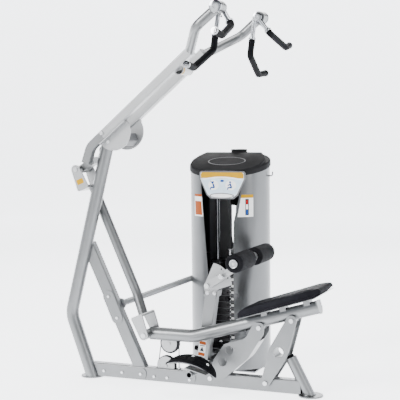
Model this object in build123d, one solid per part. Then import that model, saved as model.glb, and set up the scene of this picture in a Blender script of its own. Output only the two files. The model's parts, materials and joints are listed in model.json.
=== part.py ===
from build123d import *
import math
import os

# Pulldown machine with a rocking seat. Millimetres, +Z up, +X along the base rail towards
# the back of the seat, +Y towards the weight tower. The user sits facing -X.
# Shapes are drawn in rail coordinates: X = 0 near the foot rests, Y = 0 on the rail's middle
# plane, Z = 0 on the floor. MOVE then puts the origin under the middle of the whole machine.
MID_X = -55.2
MID_Y = 40.1
MOVE = Pos(-MID_X, -MID_Y, 0)

# Pivots of the two linkages, as (X, Z) of axes that run along Y
ARM_PIVOT = (-538, 1422)
ROD_TOP = (-762, 1256)
ROD_BOTTOM = (-331, 289)
FRONT_BASE = (73, 62)
FRONT_TOP = (370, 374)
REAR_BASE = (406, 62)
REAR_TOP = (561, 426)
RUNNING_FIT = 0.05
OPEN_PIVOT_SLACK = 9.0
PIVOT_R = 11

# Tubes: outer radius of round ones, (width along Y, height) of square ones, and their wall
MAIN_R = 38
UPRIGHT_Y = -28
ROD_R = 29
ROD_Y = 46
LEG_R = 32
STRUT_R = 19
WALL = 4
RAIL_W = 60
RAIL_H = 80
RAIL_Z = 8
RAIL_BACK = -712
RAIL_FRONT = 606
BEAM = 50
BEAM_Y = 97
COLUMN = (50, 76)
POST = (60, 70)
POST_Y = 98

# Carriage tube, seat and rockers
CARRIAGE_BEND = (-50, 289)
CARRIAGE_END = (705, 505)
SEAT_FRONT = (272, 434)
SEAT_TILT = 17.6
SEAT_LENGTH = 512
SEAT_WIDTH = 300
SEAT_THICK = 48
ROCKER_Y = 52
ROCKER_T = 6

# Sheaves: radius at the cable's centre line, flange radius, thickness
SHEAVE_CABLE_R = 56
SHEAVE_R = 60
SHEAVE_T = 18
CABLE_R = 3
CARRIAGE_SHEAVE = (-199, 238)
BASE_SHEAVE = (-221, 104)
CORNER_SHEAVE = (-50, 45)
CORNER_CABLE_R = 45
CORNER_Z = BASE_SHEAVE[1] - SHEAVE_CABLE_R
TOWER_SHEAVE_R = 45
TOP_SHEAVE_R = 78
TOP_SHEAVE_Z = 1090

# Weight tower
TOWER_X = -5
TOWER_Y = 500
TOWER_A = 250
TOWER_B = 200
SHROUD_T = 4
PLATE_PITCH = 40
PLATE_COUNT = 12
PLATE_LIFTED = 4
PLATE_SIZE = (240, 110, 39.4)
STACK_BASE = 99
STACK_TOP = STACK_BASE + PLATE_COUNT * PLATE_PITCH
GUIDE_X = 85
GUIDE_R = 12.5
CAP_SLOPE = math.degrees(math.atan(105 / 400))
CAP_FRONT_Z = 1235

TOP_SHEAVE_Y = TOWER_Y + TOP_SHEAVE_R
TOWER_SHEAVE_Y = TOP_SHEAVE_Y + TOP_SHEAVE_R - TOWER_SHEAVE_R

# Thigh rollers
THIGH_PIVOT = (38, 588)
ROLLER_AXIS = (308, 764)
ROLLER_R = 52
ROLLER_END = 279
ROLLER_CAP_R = 22
ROLLER_GAP = 31
SECTOR_R = 126
SECTOR_HOLE_R = 112
SECTOR_STEP = 11


def place(name, *solids):
    """Write one sub-part, moved to the machine's own origin."""
    shapes = [MOVE * solid for solid in solids]
    shape = shapes[0] if len(shapes) == 1 else Compound(children=shapes)
    export_step(shape, "parts/" + name + ".step")


def slab(outline, y0, y1):
    """Extrude an outline drawn in X and Z from y0 to y1."""
    return extrude(Plane.XZ.offset(-y1) * outline, amount=y1 - y0)


def disc(centre, radius, y0, y1):
    """A round bar along Y."""
    return slab(Pos(*centre) * Circle(radius), y0, y1)


def ring(centre, outer, inner, y0, y1):
    """A hollow round bar along Y."""
    return slab(Pos(*centre) * (Circle(outer) - Circle(inner)), y0, y1)


def box(x0, x1, y0, y1, z0, z1):
    return Pos((x0 + x1) / 2, (y0 + y1) / 2, (z0 + z1) / 2) * Box(x1 - x0, y1 - y0, z1 - z0)


def rounded(points):
    """A closed outline from corners (x, z, corner radius)."""
    corners = [(x, z) for x, z, r in points]
    return make_face(FilletPolyline(*corners, radius=[r for x, z, r in points], close=True))


def route(points, radii):
    if len(points) == 2:
        return Line(*points)
    return FilletPolyline(*points, radius=radii)


def round_tube(points, radii, outer, wall):
    """A bent round tube along 3-D points; wall 0 makes it solid."""
    path = route(points, radii)
    section = Circle(outer)
    if wall:
        section -= Circle(outer - wall)
    return sweep(Plane(origin=path @ 0, z_dir=path % 0) * section, path=path)


def square_tube(points, radii, width, height, wall):
    """A bent square tube in an XZ plane, its width along Y."""
    path = route(points, radii)
    section = RectangleRounded(width, height, 6) - RectangleRounded(width - 2 * wall, height - 2 * wall, 3)
    return sweep(Plane(origin=path @ 0, x_dir=(0, 1, 0), z_dir=path % 0) * section, path=path)


def along(start, end, distance):
    """The (X, Z) point that far from start towards end."""
    length = math.dist(start, end)
    return tuple(a + (b - a) * distance / length for a, b in zip(start, end))


def hull_of(*circles):
    """Outline around circles given as (x, z, r)."""
    edges = ShapeList()
    for x, z, r in circles:
        edges += (Pos(x, z) * Circle(r)).edges()
    return make_hull(edges)


def bolt(centre, y_face, side, head_r=9, head_h=6):
    """A hexagon bolt head on a face whose outward side is +1 or -1 along Y."""
    y0, y1 = sorted((y_face, y_face + side * head_h))
    return slab(Pos(*centre) * RegularPolygon(head_r, 6), y0, y1)


CHANNEL_TOP = 77
CHANNEL_END = 664

# ---- base frame -------------------------------------------------------------------------

def base_rail():
    rail = box(RAIL_BACK, RAIL_FRONT, -RAIL_W / 2, RAIL_W / 2, RAIL_Z, RAIL_Z + RAIL_H)
    rail = fillet(rail.edges().filter_by(Axis.X), 8)
    inner = box(RAIL_BACK - 1, RAIL_FRONT + 1, -RAIL_W / 2 + WALL, RAIL_W / 2 - WALL,
                RAIL_Z + WALL, RAIL_Z + RAIL_H - WALL)
    rail -= fillet(inner.edges().filter_by(Axis.X), 4)
    slot_x = BASE_SHEAVE[0]
    rail -= box(slot_x - 66, slot_x + 66, -20, 20, RAIL_Z + RAIL_H / 2, RAIL_Z + RAIL_H + 1)
    window_x = CORNER_SHEAVE[0]
    rail -= box(window_x - 54, window_x + 54, 0, RAIL_W / 2 + 1, CORNER_Z - 16, CORNER_Z + 16)
    for pivot in (FRONT_BASE, REAR_BASE):
        rail -= disc(pivot, 8, -RAIL_W, RAIL_W)
    rail -= rear_upright_core()
    rail -= leg_core()
    return rail


UPRIGHT_POINTS = [(-694, UPRIGHT_Y, -20), (-839, UPRIGHT_Y, 381), (-569, UPRIGHT_Y, 1424)]
LEG_FOOT = (648, 8)
LEG_TOP = (542, 209)
COLUMN_LOW = (-393, RAIL_Z + RAIL_H)
COLUMN_HIGH = (-726, 806)
POST_LOW = (-32, 77)
POST_HIGH = (33.8, 545)


HOUSING_Y = 71


def rear_upright_core():
    return round_tube(UPRIGHT_POINTS, [150], MAIN_R, 0)


def rear_upright():
    upright = round_tube(UPRIGHT_POINTS, [150], MAIN_R, WALL)
    upright -= box(-900, -500, -100, 100, -60, RAIL_Z)
    upright -= disc(ARM_PIVOT, 32, -76, 76)
    upright += ring(ARM_PIVOT, 32, PIVOT_R + RUNNING_FIT, -HOUSING_Y, HOUSING_Y)
    return upright


def slanted_column():
    low = along(COLUMN_LOW, COLUMN_HIGH, -60)
    column = square_tube([(low[0], 0, low[1]), (COLUMN_HIGH[0], 0, COLUMN_HIGH[1])], [],
                         COLUMN[0], COLUMN[1], WALL)
    column -= box(-600, -200, -100, 100, -100, RAIL_Z + RAIL_H)
    column -= rear_upright_core()
    return column.solids().sort_by(SortBy.VOLUME)[-1]


COLUMN_JOINT = ((-586, 497), (-531, 371))
RAIL_BOLTS_REAR = (-622, -500, -378)
RAIL_BOLTS_MID = (-290, -206, -62)
RAIL_MID_Z = RAIL_Z + RAIL_H / 2


def splice_plates():
    plates = []
    for side in (-1, 1):
        y0, y1 = sorted((side * COLUMN[0] / 2, side * (COLUMN[0] / 2 + 5)))
        outline = hull_of(*[(x, z, 36) for x, z in COLUMN_JOINT])
        plates.append(slab(outline, y0, y1))
        y0, y1 = sorted((side * RAIL_W / 2, side * (RAIL_W / 2 + 5)))
        rear = rounded([(-664, 14, 6), (-342, 14, 30), (-342, 82, 30), (-664, 82, 6)])
        plate = slab(rear, y0, y1)
        if side == -1:
            plate -= rear_upright_core()
        plates.append(plate)
        if side == -1:
            mid = rounded([(-334, 14, 6), (-26, 14, 30), (-26, 82, 30), (-334, 82, 6)])
            plates.append(slab(mid, y0, y1))
    return plates


def frame_bolts():
    bolts = []
    plate_y = RAIL_W / 2 + 5
    for x in RAIL_BOLTS_REAR:
        for side in (-1, 1):
            bolts.append(bolt((x, RAIL_MID_Z - 2), side * plate_y, side))
    for x in RAIL_BOLTS_MID:
        bolts.append(bolt((x, RAIL_MID_Z - 10), -plate_y, -1))
    for x, z in COLUMN_JOINT:
        for side in (-1, 1):
            bolts.append(bolt((x, z), side * (COLUMN[0] / 2 + 5), side))
    return bolts


FOOT_CENTRES = {"rear": -716, "front": 657}
FOOT_R = 70
FOOT_HOLE_Y = 52
FOOT_HOLE_R = 6.5


def foot_plates():
    feet = []
    for x in FOOT_CENTRES.values():
        plate = Pos(x, 0, RAIL_Z / 2) * Cylinder(FOOT_R, RAIL_Z)
        for side in (-1, 1):
            plate -= Pos(x, side * FOOT_HOLE_Y, RAIL_Z / 2) * Cylinder(FOOT_HOLE_R, RAIL_Z + 2)
        feet.append(chamfer(plate.faces().sort_by(Axis.Z)[-1].outer_wire().edges(), 2))
    return feet


def leg_points():
    low = along(LEG_FOOT, LEG_TOP, -30)
    return [(low[0], 0, low[1]), (LEG_TOP[0], 0, LEG_TOP[1])]


def leg_core():
    return round_tube(leg_points(), [], LEG_R, 0)


def rear_leg():
    leg = round_tube(leg_points(), [], LEG_R, WALL)
    return leg - box(500, 800, -100, 100, -80, RAIL_Z)


def stop_bumpers():
    """Rubber stops: under the rear rocker, under the arm's lever and beside the post."""
    frame = Plane(origin=(LEG_TOP[0], 0, LEG_TOP[1]), z_dir=(LEG_TOP[0] - LEG_FOOT[0], 0, LEG_TOP[1] - LEG_FOOT[1]))
    rocker_stop = frame * Pos(0, 0, 7) * Cylinder(22, 14)
    upright = Plane(origin=(-618, UPRIGHT_Y, 1376), z_dir=(-1, 0, 0.26))
    lever_stop = upright * Pos(0, 0, -8) * Cylinder(16, 26)
    lever_stop -= rear_upright_core()
    lever_stop = lever_stop.solids().sort_by(Axis.X)[0]
    knob = Plane(origin=(-16, POST_Y, 191), z_dir=(-1, 0, 0.14))
    post_stop = knob * Pos(0, 0, 51) * Cylinder(14, 30)
    return rocker_stop, lever_stop, post_stop


def cross_channel():
    """Square channel from the rail to the weight tower; the cable runs inside it."""
    x0, x1 = CORNER_SHEAVE[0] - 60, CORNER_SHEAVE[0] + 60
    channel = box(x0, x1, RAIL_W / 2, CHANNEL_END, 17, CHANNEL_TOP)
    channel -= box(x0 + WALL, x1 - WALL, RAIL_W / 2 - 1, CHANNEL_END + 1, 17 + WALL, CHANNEL_TOP - WALL)
    channel -= box(TOWER_X - 11, TOWER_X + 11, 550, CHANNEL_END + 1, 60, CHANNEL_TOP + 1)
    return channel


def tower_strut():
    start = Vector(-535, COLUMN[0] / 2 + 19, 446)
    end = Vector(-152, 592, 592)
    strut = round_tube([tuple(start), tuple(end)], [], STRUT_R, 3)
    flange = disc((start.X, start.Z), 34, COLUMN[0] / 2 + 5, COLUMN[0] / 2 + 11)
    strut -= box(-700, -300, -100, COLUMN[0] / 2 + 11, 300, 600)
    strut -= upright_bar(-1)
    return strut + flange


def rocker_shafts():
    shafts = []
    for pivot in (FRONT_BASE, REAR_BASE):
        shaft = disc(pivot, 8, -ROCKER_Y - 8, ROCKER_Y + 8)
        shaft += disc(pivot, 13, -ROCKER_Y - 8, -ROCKER_Y - 1)
        shaft += disc(pivot, 13, ROCKER_Y + 1, ROCKER_Y + 8)
        for side in (-1, 1):
            y0, y1 = sorted((side * (RAIL_W / 2), side * (ROCKER_Y - ROCKER_T - 0.5)))
            shaft += disc(pivot, 13, y0, y1)
        shafts.append(shaft)
    return shafts


def thigh_post():
    low = along(POST_LOW, POST_HIGH, -60)
    post = square_tube([(low[0], POST_Y, low[1]), (POST_HIGH[0], POST_Y, POST_HIGH[1])], [],
                       POST[0], POST[1], WALL)
    post -= box(-200, 200, 0, 200, -100, 77)
    tilt = math.degrees(math.atan2(POST_HIGH[0] - POST_LOW[0], POST_HIGH[1] - POST_LOW[1]))
    cap = Pos(POST_HIGH[0], POST_Y, POST_HIGH[1]) * Rot(0, tilt, 0) * Pos(0, 0, 3) * Box(70, 60, 6)
    return post + cap


def polar(centre, radius, degrees):
    angle = math.radians(degrees)
    return (centre[0] + radius * math.cos(angle), centre[1] + radius * math.sin(angle))


THIGH_ANGLE = math.degrees(math.atan2(ROLLER_AXIS[1] - THIGH_PIVOT[1], ROLLER_AXIS[0] - THIGH_PIVOT[0]))
SECTOR_Y = (62, 68)


def sector_plate():
    fan = Pos(*THIGH_PIVOT) * Circle(SECTOR_R)
    far = 400
    left = polar(THIGH_PIVOT, far, 71)
    right = polar(THIGH_PIVOT, far, 14)
    wedge = make_face(Polyline((-6, 578), left, right, (60, 552), (-3, 540), close=True))
    foot = make_face(Polyline((-6, 578), (40, 640), (100, 605), (76, 560), (72, 545), (-3, 536), close=True))
    outline = (fan & wedge) + foot
    plate = slab(outline, *SECTOR_Y)
    for k in range(-1, 3):
        plate -= disc(polar(THIGH_PIVOT, SECTOR_HOLE_R, THIGH_ANGLE + k * SECTOR_STEP), 5.3, 50, 80)
    slot = hull_of((*polar(THIGH_PIVOT, 62, 28), 6), (*polar(THIGH_PIVOT, 62, 55), 6))
    plate -= slab(slot, 50, 80)
    plate -= disc(THIGH_PIVOT, 8, 50, 80)
    return plate


FOOT_PAD = (25, 213, 167)


def foot_bar():
    """Cross bar over the rail that carries both foot rests."""
    x, z = 35, 128
    bar = ring((x, z), 18, 14, -272, 272)
    bar += box(x - 16, x + 16, -24, 24, RAIL_Z + RAIL_H, z - 14)
    bar -= disc((x, z), 14, -300, 300)
    for side in (-1, 1):
        y0, y1 = sorted((side * 162, side * 262))
        oval = Pos(x, 0, 0) * Rot(0, 14, 0) * box(-70, 60, y0, y1, z + 19, z + 25)
        web = box(x - 5, x + 5, y0 + 20, y1 - 20, z + 12, z + 24)
        bar += oval + (web - disc((x, z), 18, -300, 300))
    return bar


def foot_pads():
    """Two arched treads, longer along X than Y, with raised grip ribs."""
    pads = []
    arch = ThreePointArc((-128, 176), (40, 222), (172, 124))
    thick = 12
    lower = ThreePointArc((166, 124 - thick), (40, 222 - thick), (-126, 176 - thick))
    outline = make_face(Wire([arch, Line(arch @ 1, lower @ 0), lower, Line(lower @ 1, arch @ 0)]))
    for side in (-1, 1):
        middle = side * FOOT_PAD[1]
        pad = slab(outline, middle - 80, middle + 80)
        plan = Pos(22, middle, 0) * Ellipse(152, 76)
        pad &= extrude(plan, amount=400)
        pads.append(pad)
    return pads


# ---- weight tower -----------------------------------------------------------------------

def upright_bar(side):
    x = TOWER_X + side * 150
    return box(x - 20, x + 20, 580, 620, 8, 1180)


def tower_frame():
    frame = box(TOWER_X - 190, TOWER_X + 190, 400, 640, 0, 8)
    for side in (-1, 1):
        frame += upright_bar(side)
        for z in (200, 700, 1120):
            x0, x1 = sorted((TOWER_X + side * 170, TOWER_X + side * 203))
            frame += box(x0, x1, 590, 610, z, z + 6)
        x0, x1 = sorted((TOWER_X + side * 13, TOWER_X + side * 18))
        frame += box(x0, x1, TOP_SHEAVE_Y - 25, TOP_SHEAVE_Y + 25, TOP_SHEAVE_Z - 25, 1181)
    frame += box(TOWER_X - 170, TOWER_X + 170, 470, 622, 1180, 1190)
    frame += box(CORNER_SHEAVE[0] - 60, CORNER_SHEAVE[0] + 60, 470, 530, 8, 17)
    frame += box(CORNER_SHEAVE[0] + 61, TOWER_X + 130, 440, 560, 8, CHANNEL_TOP)
    bearing = Plane(origin=(TOWER_X - 18, TOP_SHEAVE_Y, TOP_SHEAVE_Z), z_dir=(1, 0, 0))
    frame += bearing * extrude(Circle(8), amount=36)
    return frame


def guide_rods():
    rods = []
    for side in (-1, 1):
        x = TOWER_X + side * GUIDE_X
        rod = Pos(x, TOWER_Y, (CHANNEL_TOP + 1180) / 2) * Cylinder(GUIDE_R, 1180 - CHANNEL_TOP)
        height = STACK_BASE - CHANNEL_TOP
        bumper = Pos(x, TOWER_Y, CHANNEL_TOP + height / 2) * (Cylinder(24, height) - Cylinder(GUIDE_R, height))
        rods.append(rod)
        rods.append(bumper)
    return rods


def weight_plate(index):
    """Plate number index, counted from the bottom; its middle slot takes the pin."""
    width, depth, height = PLATE_SIZE
    z = STACK_BASE + (index + 0.5) * PLATE_PITCH
    plate = Pos(TOWER_X, TOWER_Y, z) * Box(width, depth, height)
    plate = fillet(plate.edges().filter_by(Axis.Z), 14)
    for side in (-1, 1):
        plate -= Pos(TOWER_X + side * GUIDE_X, TOWER_Y, z) * Cylinder(GUIDE_R + 1, height + 2)
    plate -= Pos(TOWER_X, TOWER_Y, z) * Cylinder(13, height + 2)
    hole = Plane(origin=(TOWER_X, TOWER_Y, z), z_dir=(0, -1, 0))
    plate -= hole * extrude(Circle(5.5), amount=depth)
    return plate


def top_plate_blocks():
    blocks = []
    for side in (-1, 1):
        x = TOWER_X + side * GUIDE_X
        block = Pos(x, TOWER_Y, STACK_TOP + 48) * Box(74, 84, 95)
        block = fillet(block.edges().filter_by(Axis.Z), 12)
        block -= Pos(x, TOWER_Y, STACK_TOP + 48) * Cylinder(GUIDE_R + 1, 100)
        blocks.append(block)
    return blocks


PIN_PLATE = PLATE_COUNT - PLATE_LIFTED
PIN_Z = STACK_BASE + (PIN_PLATE + 0.5) * PLATE_PITCH


def selector_stem():
    low = STACK_BASE + 4
    high = STACK_TOP + 150
    stem = Pos(TOWER_X, TOWER_Y, (low + high) / 2) * Cylinder(11, high - low)
    stem += Pos(TOWER_X, TOWER_Y, STACK_TOP + 145) * Cylinder(16, 36)
    for index in range(PLATE_COUNT):
        z = STACK_BASE + (index + 0.5) * PLATE_PITCH
        hole = Plane(origin=(TOWER_X, TOWER_Y + 20, z), z_dir=(0, -1, 0))
        stem -= hole * extrude(Circle(5.5), amount=60)
    return stem


def selector_pin():
    front = TOWER_Y - PLATE_SIZE[1] / 2
    axis = Plane(origin=(TOWER_X, TOWER_Y + 8, PIN_Z), z_dir=(0, -1, 0))
    pin = axis * extrude(Circle(5), amount=TOWER_Y + 8 - front + 6)
    knob = Plane(origin=(TOWER_X, front - 2, PIN_Z), z_dir=(0, -1, 0))
    pin += knob * extrude(Circle(15), amount=24)
    return fillet(pin.edges().filter_by(GeomType.CIRCLE).sort_by(Axis.Y)[0], 5)


def ellipse_shell(a, b, thick, z0, z1):
    outer = Ellipse(a, b) - Ellipse(a - thick, b - thick)
    return Pos(TOWER_X, TOWER_Y, z0) * extrude(outer, amount=z1 - z0)


def above_slope(front_z):
    """Everything above the slanted plane that rises towards the back of the tower."""
    plane = Plane(origin=(TOWER_X, TOWER_Y - TOWER_B, front_z), x_dir=(1, 0, 0),
                  z_dir=(0, -math.sin(math.radians(CAP_SLOPE)), math.cos(math.radians(CAP_SLOPE))))
    return plane * Pos(0, 0, 400) * Box(1200, 1600, 800)


BACK_GAP = 62
OPENING = [(-131, 1420), (-131, 1197), (-80, 611), (-74, 0), (88, 0), (82, 640), (86, 930),
           (143, 1197), (143, 1420)]


def front_opening():
    return slab(make_face(Polyline(*OPENING, close=True)), TOWER_Y - 260, TOWER_Y - 60)


def shroud_half(side):
    """One curved side cover, from the front opening round to the gap at the back."""
    shell = ellipse_shell(TOWER_A, TOWER_B, SHROUD_T, 30, 1400)
    shell -= above_slope(CAP_FRONT_Z - 36)
    shell -= front_opening()
    shell -= box(TOWER_X - BACK_GAP, TOWER_X + BACK_GAP, TOWER_Y, TOWER_Y + 300, 0, 1500)
    keep = box(TOWER_X, TOWER_X + 400, 200, 800, 0, 1500)
    shell = shell & keep if side == 1 else shell - keep
    if side == -1:
        shell -= box(CORNER_SHEAVE[0] - 62, TOWER_X + 100, 200, 460, 0, 80)
        hole = Plane(origin=(-535, COLUMN[0] / 2 + 19, 446),
                     z_dir=(-152 + 535, 592 - COLUMN[0] / 2 - 19, 592 - 446))
        shell -= hole * extrude(Circle(STRUT_R + 4), amount=620)
    return shell.solids().sort_by(SortBy.VOLUME)[-1]


def shroud_back():
    """Dark inner cover behind the weights, with a narrow window at the top."""
    shell = ellipse_shell(TOWER_A - 10, TOWER_B - 10, 3, 30, 1400)
    shell -= above_slope(CAP_FRONT_Z - 36)
    shell &= box(TOWER_X - 190, TOWER_X + 190, TOWER_Y + 60, 800, 0, 1500)
    window = make_face(Polyline((-96, 1060), (-34, 1060), (-50, 760), (-58, 760), close=True))
    shell -= slab(window, 600, 760)
    return shell.solids().sort_by(SortBy.VOLUME)[-1]


CUP = (6, 634)
CUP_R = 50
CUP_Z = (1268, 1357)


def tower_cap():
    lid = Pos(TOWER_X, TOWER_Y, 1150) * extrude(Ellipse(TOWER_A + 5, TOWER_B + 5), amount=300)
    lid -= above_slope(CAP_FRONT_Z)
    lid &= above_slope(CAP_FRONT_Z - 35)
    top = lid.faces().sort_by(Axis.Z)[-1]
    lid = fillet(top.edges(), 10)
    inner = Pos(TOWER_X, TOWER_Y, 1150) * extrude(Ellipse(TOWER_A - 8, TOWER_B - 8), amount=300)
    inner -= above_slope(CAP_FRONT_Z - 8)
    return lid - inner - Pos(*CUP, 1100) * extrude(Circle(CUP_R), amount=400)


def cup_holder():
    """Open cup that hangs in a round hole near the back edge of the cap."""
    cup = Pos(*CUP, CUP_Z[0]) * extrude(Circle(CUP_R), amount=CUP_Z[1] - CUP_Z[0])
    return cup - Pos(*CUP, CUP_Z[0] + 3) * extrude(Circle(CUP_R - 4), amount=200)


PLACARD_Y = 287


def placard():
    """Instruction board in front of the cap's rim, on two short standoffs."""
    outline = rounded([(-114, 1228, 8), (164, 1228, 8), (164, 1192, 24), (116, 1097, 20),
                       (88, 1076, 20), (-42, 1076, 20), (-70, 1097, 20), (-114, 1188, 24)])
    solids = [slab(outline, PLACARD_Y, PLACARD_Y + 6)]
    for x in (-85, 75):
        solids.append(disc((x, 1213), 6, PLACARD_Y + 6, 303.5))
    return solids


# ---- arm --------------------------------------------------------------------------------

BEAM_LOW = (-566, 1460)
BEAM_HIGH = (-8, 1928)
LEVER_BEND = tuple(2 * a - b for a, b in zip(BEAM_LOW, along(BEAM_LOW, BEAM_HIGH, 107)))
BEAM_TILT = math.degrees(math.atan2(BEAM_HIGH[1] - BEAM_LOW[1], BEAM_HIGH[0] - BEAM_LOW[0]))
LEVER_END = (-680, 1296)
HUB = (255, 341, 2138)
TUBE_BEND = (130, 350, 2036)
ARM_TUBE_R = 27


def arm_beam(side):
    y = side * BEAM_Y
    return square_tube([(BEAM_LOW[0], y, BEAM_LOW[1]), (BEAM_HIGH[0], y, BEAM_HIGH[1])], [],
                       BEAM, BEAM, WALL)


def arm_lever():
    """Two goose-neck bars, a cross bar and a neck that ends in the push rod's bearing."""
    lever = []
    for side in (-1, 1):
        y = side * BEAM_Y
        points = [(BEAM_LOW[0], y, BEAM_LOW[1]), (LEVER_BEND[0], y, LEVER_BEND[1]),
                  (LEVER_END[0], y, LEVER_END[1])]
        lever.append(square_tube(points, [90], BEAM, BEAM, WALL))
    bar = Pos(LEVER_END[0], 0, LEVER_END[1] + 16) * Box(44, 2 * BEAM_Y - BEAM, 34)
    neck = slab(hull_of((LEVER_END[0], LEVER_END[1] + 8, 20), (*ROD_TOP, 20)), -34, 34)
    tube = disc(ROD_TOP, 24, -76, 76)
    joined = bar + neck + tube
    joined -= disc(ROD_TOP, 10 + RUNNING_FIT, -100, 100)
    lever.append(joined)
    return lever


def pivot_plate(side):
    """Half-round side plate below a beam, with a bolting flange under the beam."""
    mid = along(BEAM_LOW, BEAM_HIGH, 59)
    normal = (math.sin(math.radians(BEAM_TILT)), -math.cos(math.radians(BEAM_TILT)))
    edge = (mid[0] + normal[0] * BEAM / 2, mid[1] + normal[1] * BEAM / 2)
    local = Pos(edge[0], 0, edge[1]) * Rot(0, -BEAM_TILT, 0)
    half = Circle(110) & (Pos(0, -60.3) * Rectangle(260, 120))
    y0, y1 = sorted((side * 83, side * 91))
    plate = local * slab(half, y0, y1)
    y2, y3 = sorted((side * 91, side * (BEAM_Y + BEAM / 2)))
    plate += local * box(-105, 105, y2, y3, -8.3, -0.3)
    return plate - disc(ARM_PIVOT, PIVOT_R, -120, 120)


def arm_axle():
    """Axle with its spacers, and the bolt heads on the arm's sides."""
    axle = disc(ARM_PIVOT, PIVOT_R, -96, 96)
    pieces = [axle]
    for side in (-1, 1):
        y0, y1 = sorted((side * (HOUSING_Y + 0.5), side * 83))
        axle += disc(ARM_PIVOT, 16, y0, y1)
        pieces.append(bolt((-564, 1472), side * (BEAM_Y + BEAM / 2), side, 12, 8))
    pieces[0] = axle
    return pieces


def pivot_block():
    """Rubber-faced travel stop between the two side plates."""
    outline = rounded([(-478, 1462, 8), (-446, 1470, 8), (-424, 1424, 10), (-452, 1392, 10),
                       (-482, 1402, 8)])
    return slab(outline, -82.5, 82.5)


def arm_cross_tube():
    """Round cross tube and its two ears, between the beams near their upper ends."""
    centre = along(BEAM_LOW, BEAM_HIGH, 600)
    low = (centre[0] + 14, centre[1] - 17)
    return ring(low, 30, 26, -BEAM_Y + BEAM / 2, BEAM_Y - BEAM / 2)


def arm_tube(side):
    y = side * BEAM_Y
    points = [(-18, y, 1912), (TUBE_BEND[0], side * TUBE_BEND[1], TUBE_BEND[2]),
              (HUB[0], side * HUB[1], HUB[2])]
    tube = round_tube(points, [70], ARM_TUBE_R, WALL)
    hub = ring((HUB[0], HUB[2]), 34, 12 + RUNNING_FIT, *sorted((side * (HUB[1] - 34), side * (HUB[1] + 34))))
    tube -= disc((HUB[0], HUB[2]), 34, *sorted((side * (HUB[1] - 34), side * (HUB[1] + 34))))
    beam_y = sorted((side * (BEAM_Y - BEAM / 2 - 0.1), side * (BEAM_Y + BEAM / 2 + 0.1)))
    tilt = Pos(BEAM_HIGH[0], 0, BEAM_HIGH[1]) * Rot(0, -BEAM_TILT, 0)
    tube -= tilt * box(-200, 0, -600, 600, -200, 200)
    end_plate = tilt * box(0.1, 6, beam_y[0], beam_y[1], -BEAM / 2, BEAM / 2)
    tube = tube.solids().sort_by(SortBy.VOLUME)[-1]
    return tube + hub + end_plate


# ---- handles ----------------------------------------------------------------------------

HANDLE_R = 13
GRIP_R = 19
COLLAR_R = 22
LONG_ROUTE = [(238, 288, 2126), (207, 289, 1916), (182, 505, 1813), (189, 614, 1825)]
SHORT_ROUTE = [(262, 284, 2126), (322, 318, 2040), (349, 529, 1971), (343, 613, 1988)]
LONG_GRIP_START = 118
SHORT_GRIP_START = 88
BEND_R = [34, 40]


def sided(points, side):
    return [(x, side * y, z) for x, y, z in points]


def shifted_start(points, distance):
    """The same route, begun that far along its first run."""
    start = Vector(*points[0])
    second = Vector(*points[1])
    moved = start + (second - start).normalized() * distance
    return [tuple(moved)] + points[1:]


def handle_frame(side):
    """Two steel stems on a hub, each bent outwards into a grip, with end caps."""
    centre = (HUB[0], HUB[2])
    inner = HUB[1] - 35
    frame = disc(centre, 26, *sorted((side * (inner - 26), side * inner)))
    frame += disc(centre, 12, *sorted((side * inner, side * (HUB[1] + 34))))
    frame += disc(centre, 22, *sorted((side * (HUB[1] + 34.5), side * (HUB[1] + 44))))
    for points in (LONG_ROUTE, SHORT_ROUTE):
        pts = sided(points, side)
        frame += round_tube(pts, BEND_R, HANDLE_R, 0)
        frame += cap_disc(pts[-1], pts[-2], GRIP_R, 8)
    for points, start in ((LONG_ROUTE, LONG_GRIP_START), (SHORT_ROUTE, SHORT_GRIP_START)):
        pts = shifted_start(sided(points, side), start - 7)
        frame += cap_disc(pts[0], pts[1], COLLAR_R, -6.5)
    return frame


def cap_disc(end, previous, radius, length):
    """A round cap beyond the end of a route."""
    direction = Vector(*end) - Vector(*previous)
    return Plane(origin=end, z_dir=direction) * extrude(Circle(radius), amount=length)


def grips(side):
    sleeves = []
    for points, start in ((LONG_ROUTE, LONG_GRIP_START), (SHORT_ROUTE, SHORT_GRIP_START)):
        pts = shifted_start(sided(points, side), start)
        path = route(pts, BEND_R)
        section = Circle(GRIP_R) - Circle(HANDLE_R + RUNNING_FIT)
        sleeves.append(sweep(Plane(origin=path @ 0, z_dir=path % 0) * section, path=path))
    return sleeves


# ---- push rod ---------------------------------------------------------------------------

CLEVIS_LENGTH = 112
CLEVIS_HALF = 38
CLEVIS_IN = 78
CLEVIS_OUT = 88
ROD_CORNER = (-436, 520)
TOP_WEB = (-716, 1150)
BOTTOM_WEB = (-373, 391)


def clevis(pin, web):
    """U-shaped fork: two tapered ears with the pin hole, joined by a web."""
    length = math.dist(pin, web)
    ear = hull_of((0, 0, 28), (CLEVIS_HALF - 12, -length, 12), (12 - CLEVIS_HALF, -length, 12))
    fork = slab(ear, -CLEVIS_OUT, CLEVIS_OUT)
    fork -= box(-100, 100, -CLEVIS_IN, CLEVIS_IN, 4 - length, 100)
    fork -= disc((0, 0), 10, -200, 200)
    angle = math.degrees(math.atan2(pin[0] - web[0], pin[1] - web[1]))
    return Pos(pin[0], 0, pin[1]) * Rot(0, angle, 0) * fork


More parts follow.
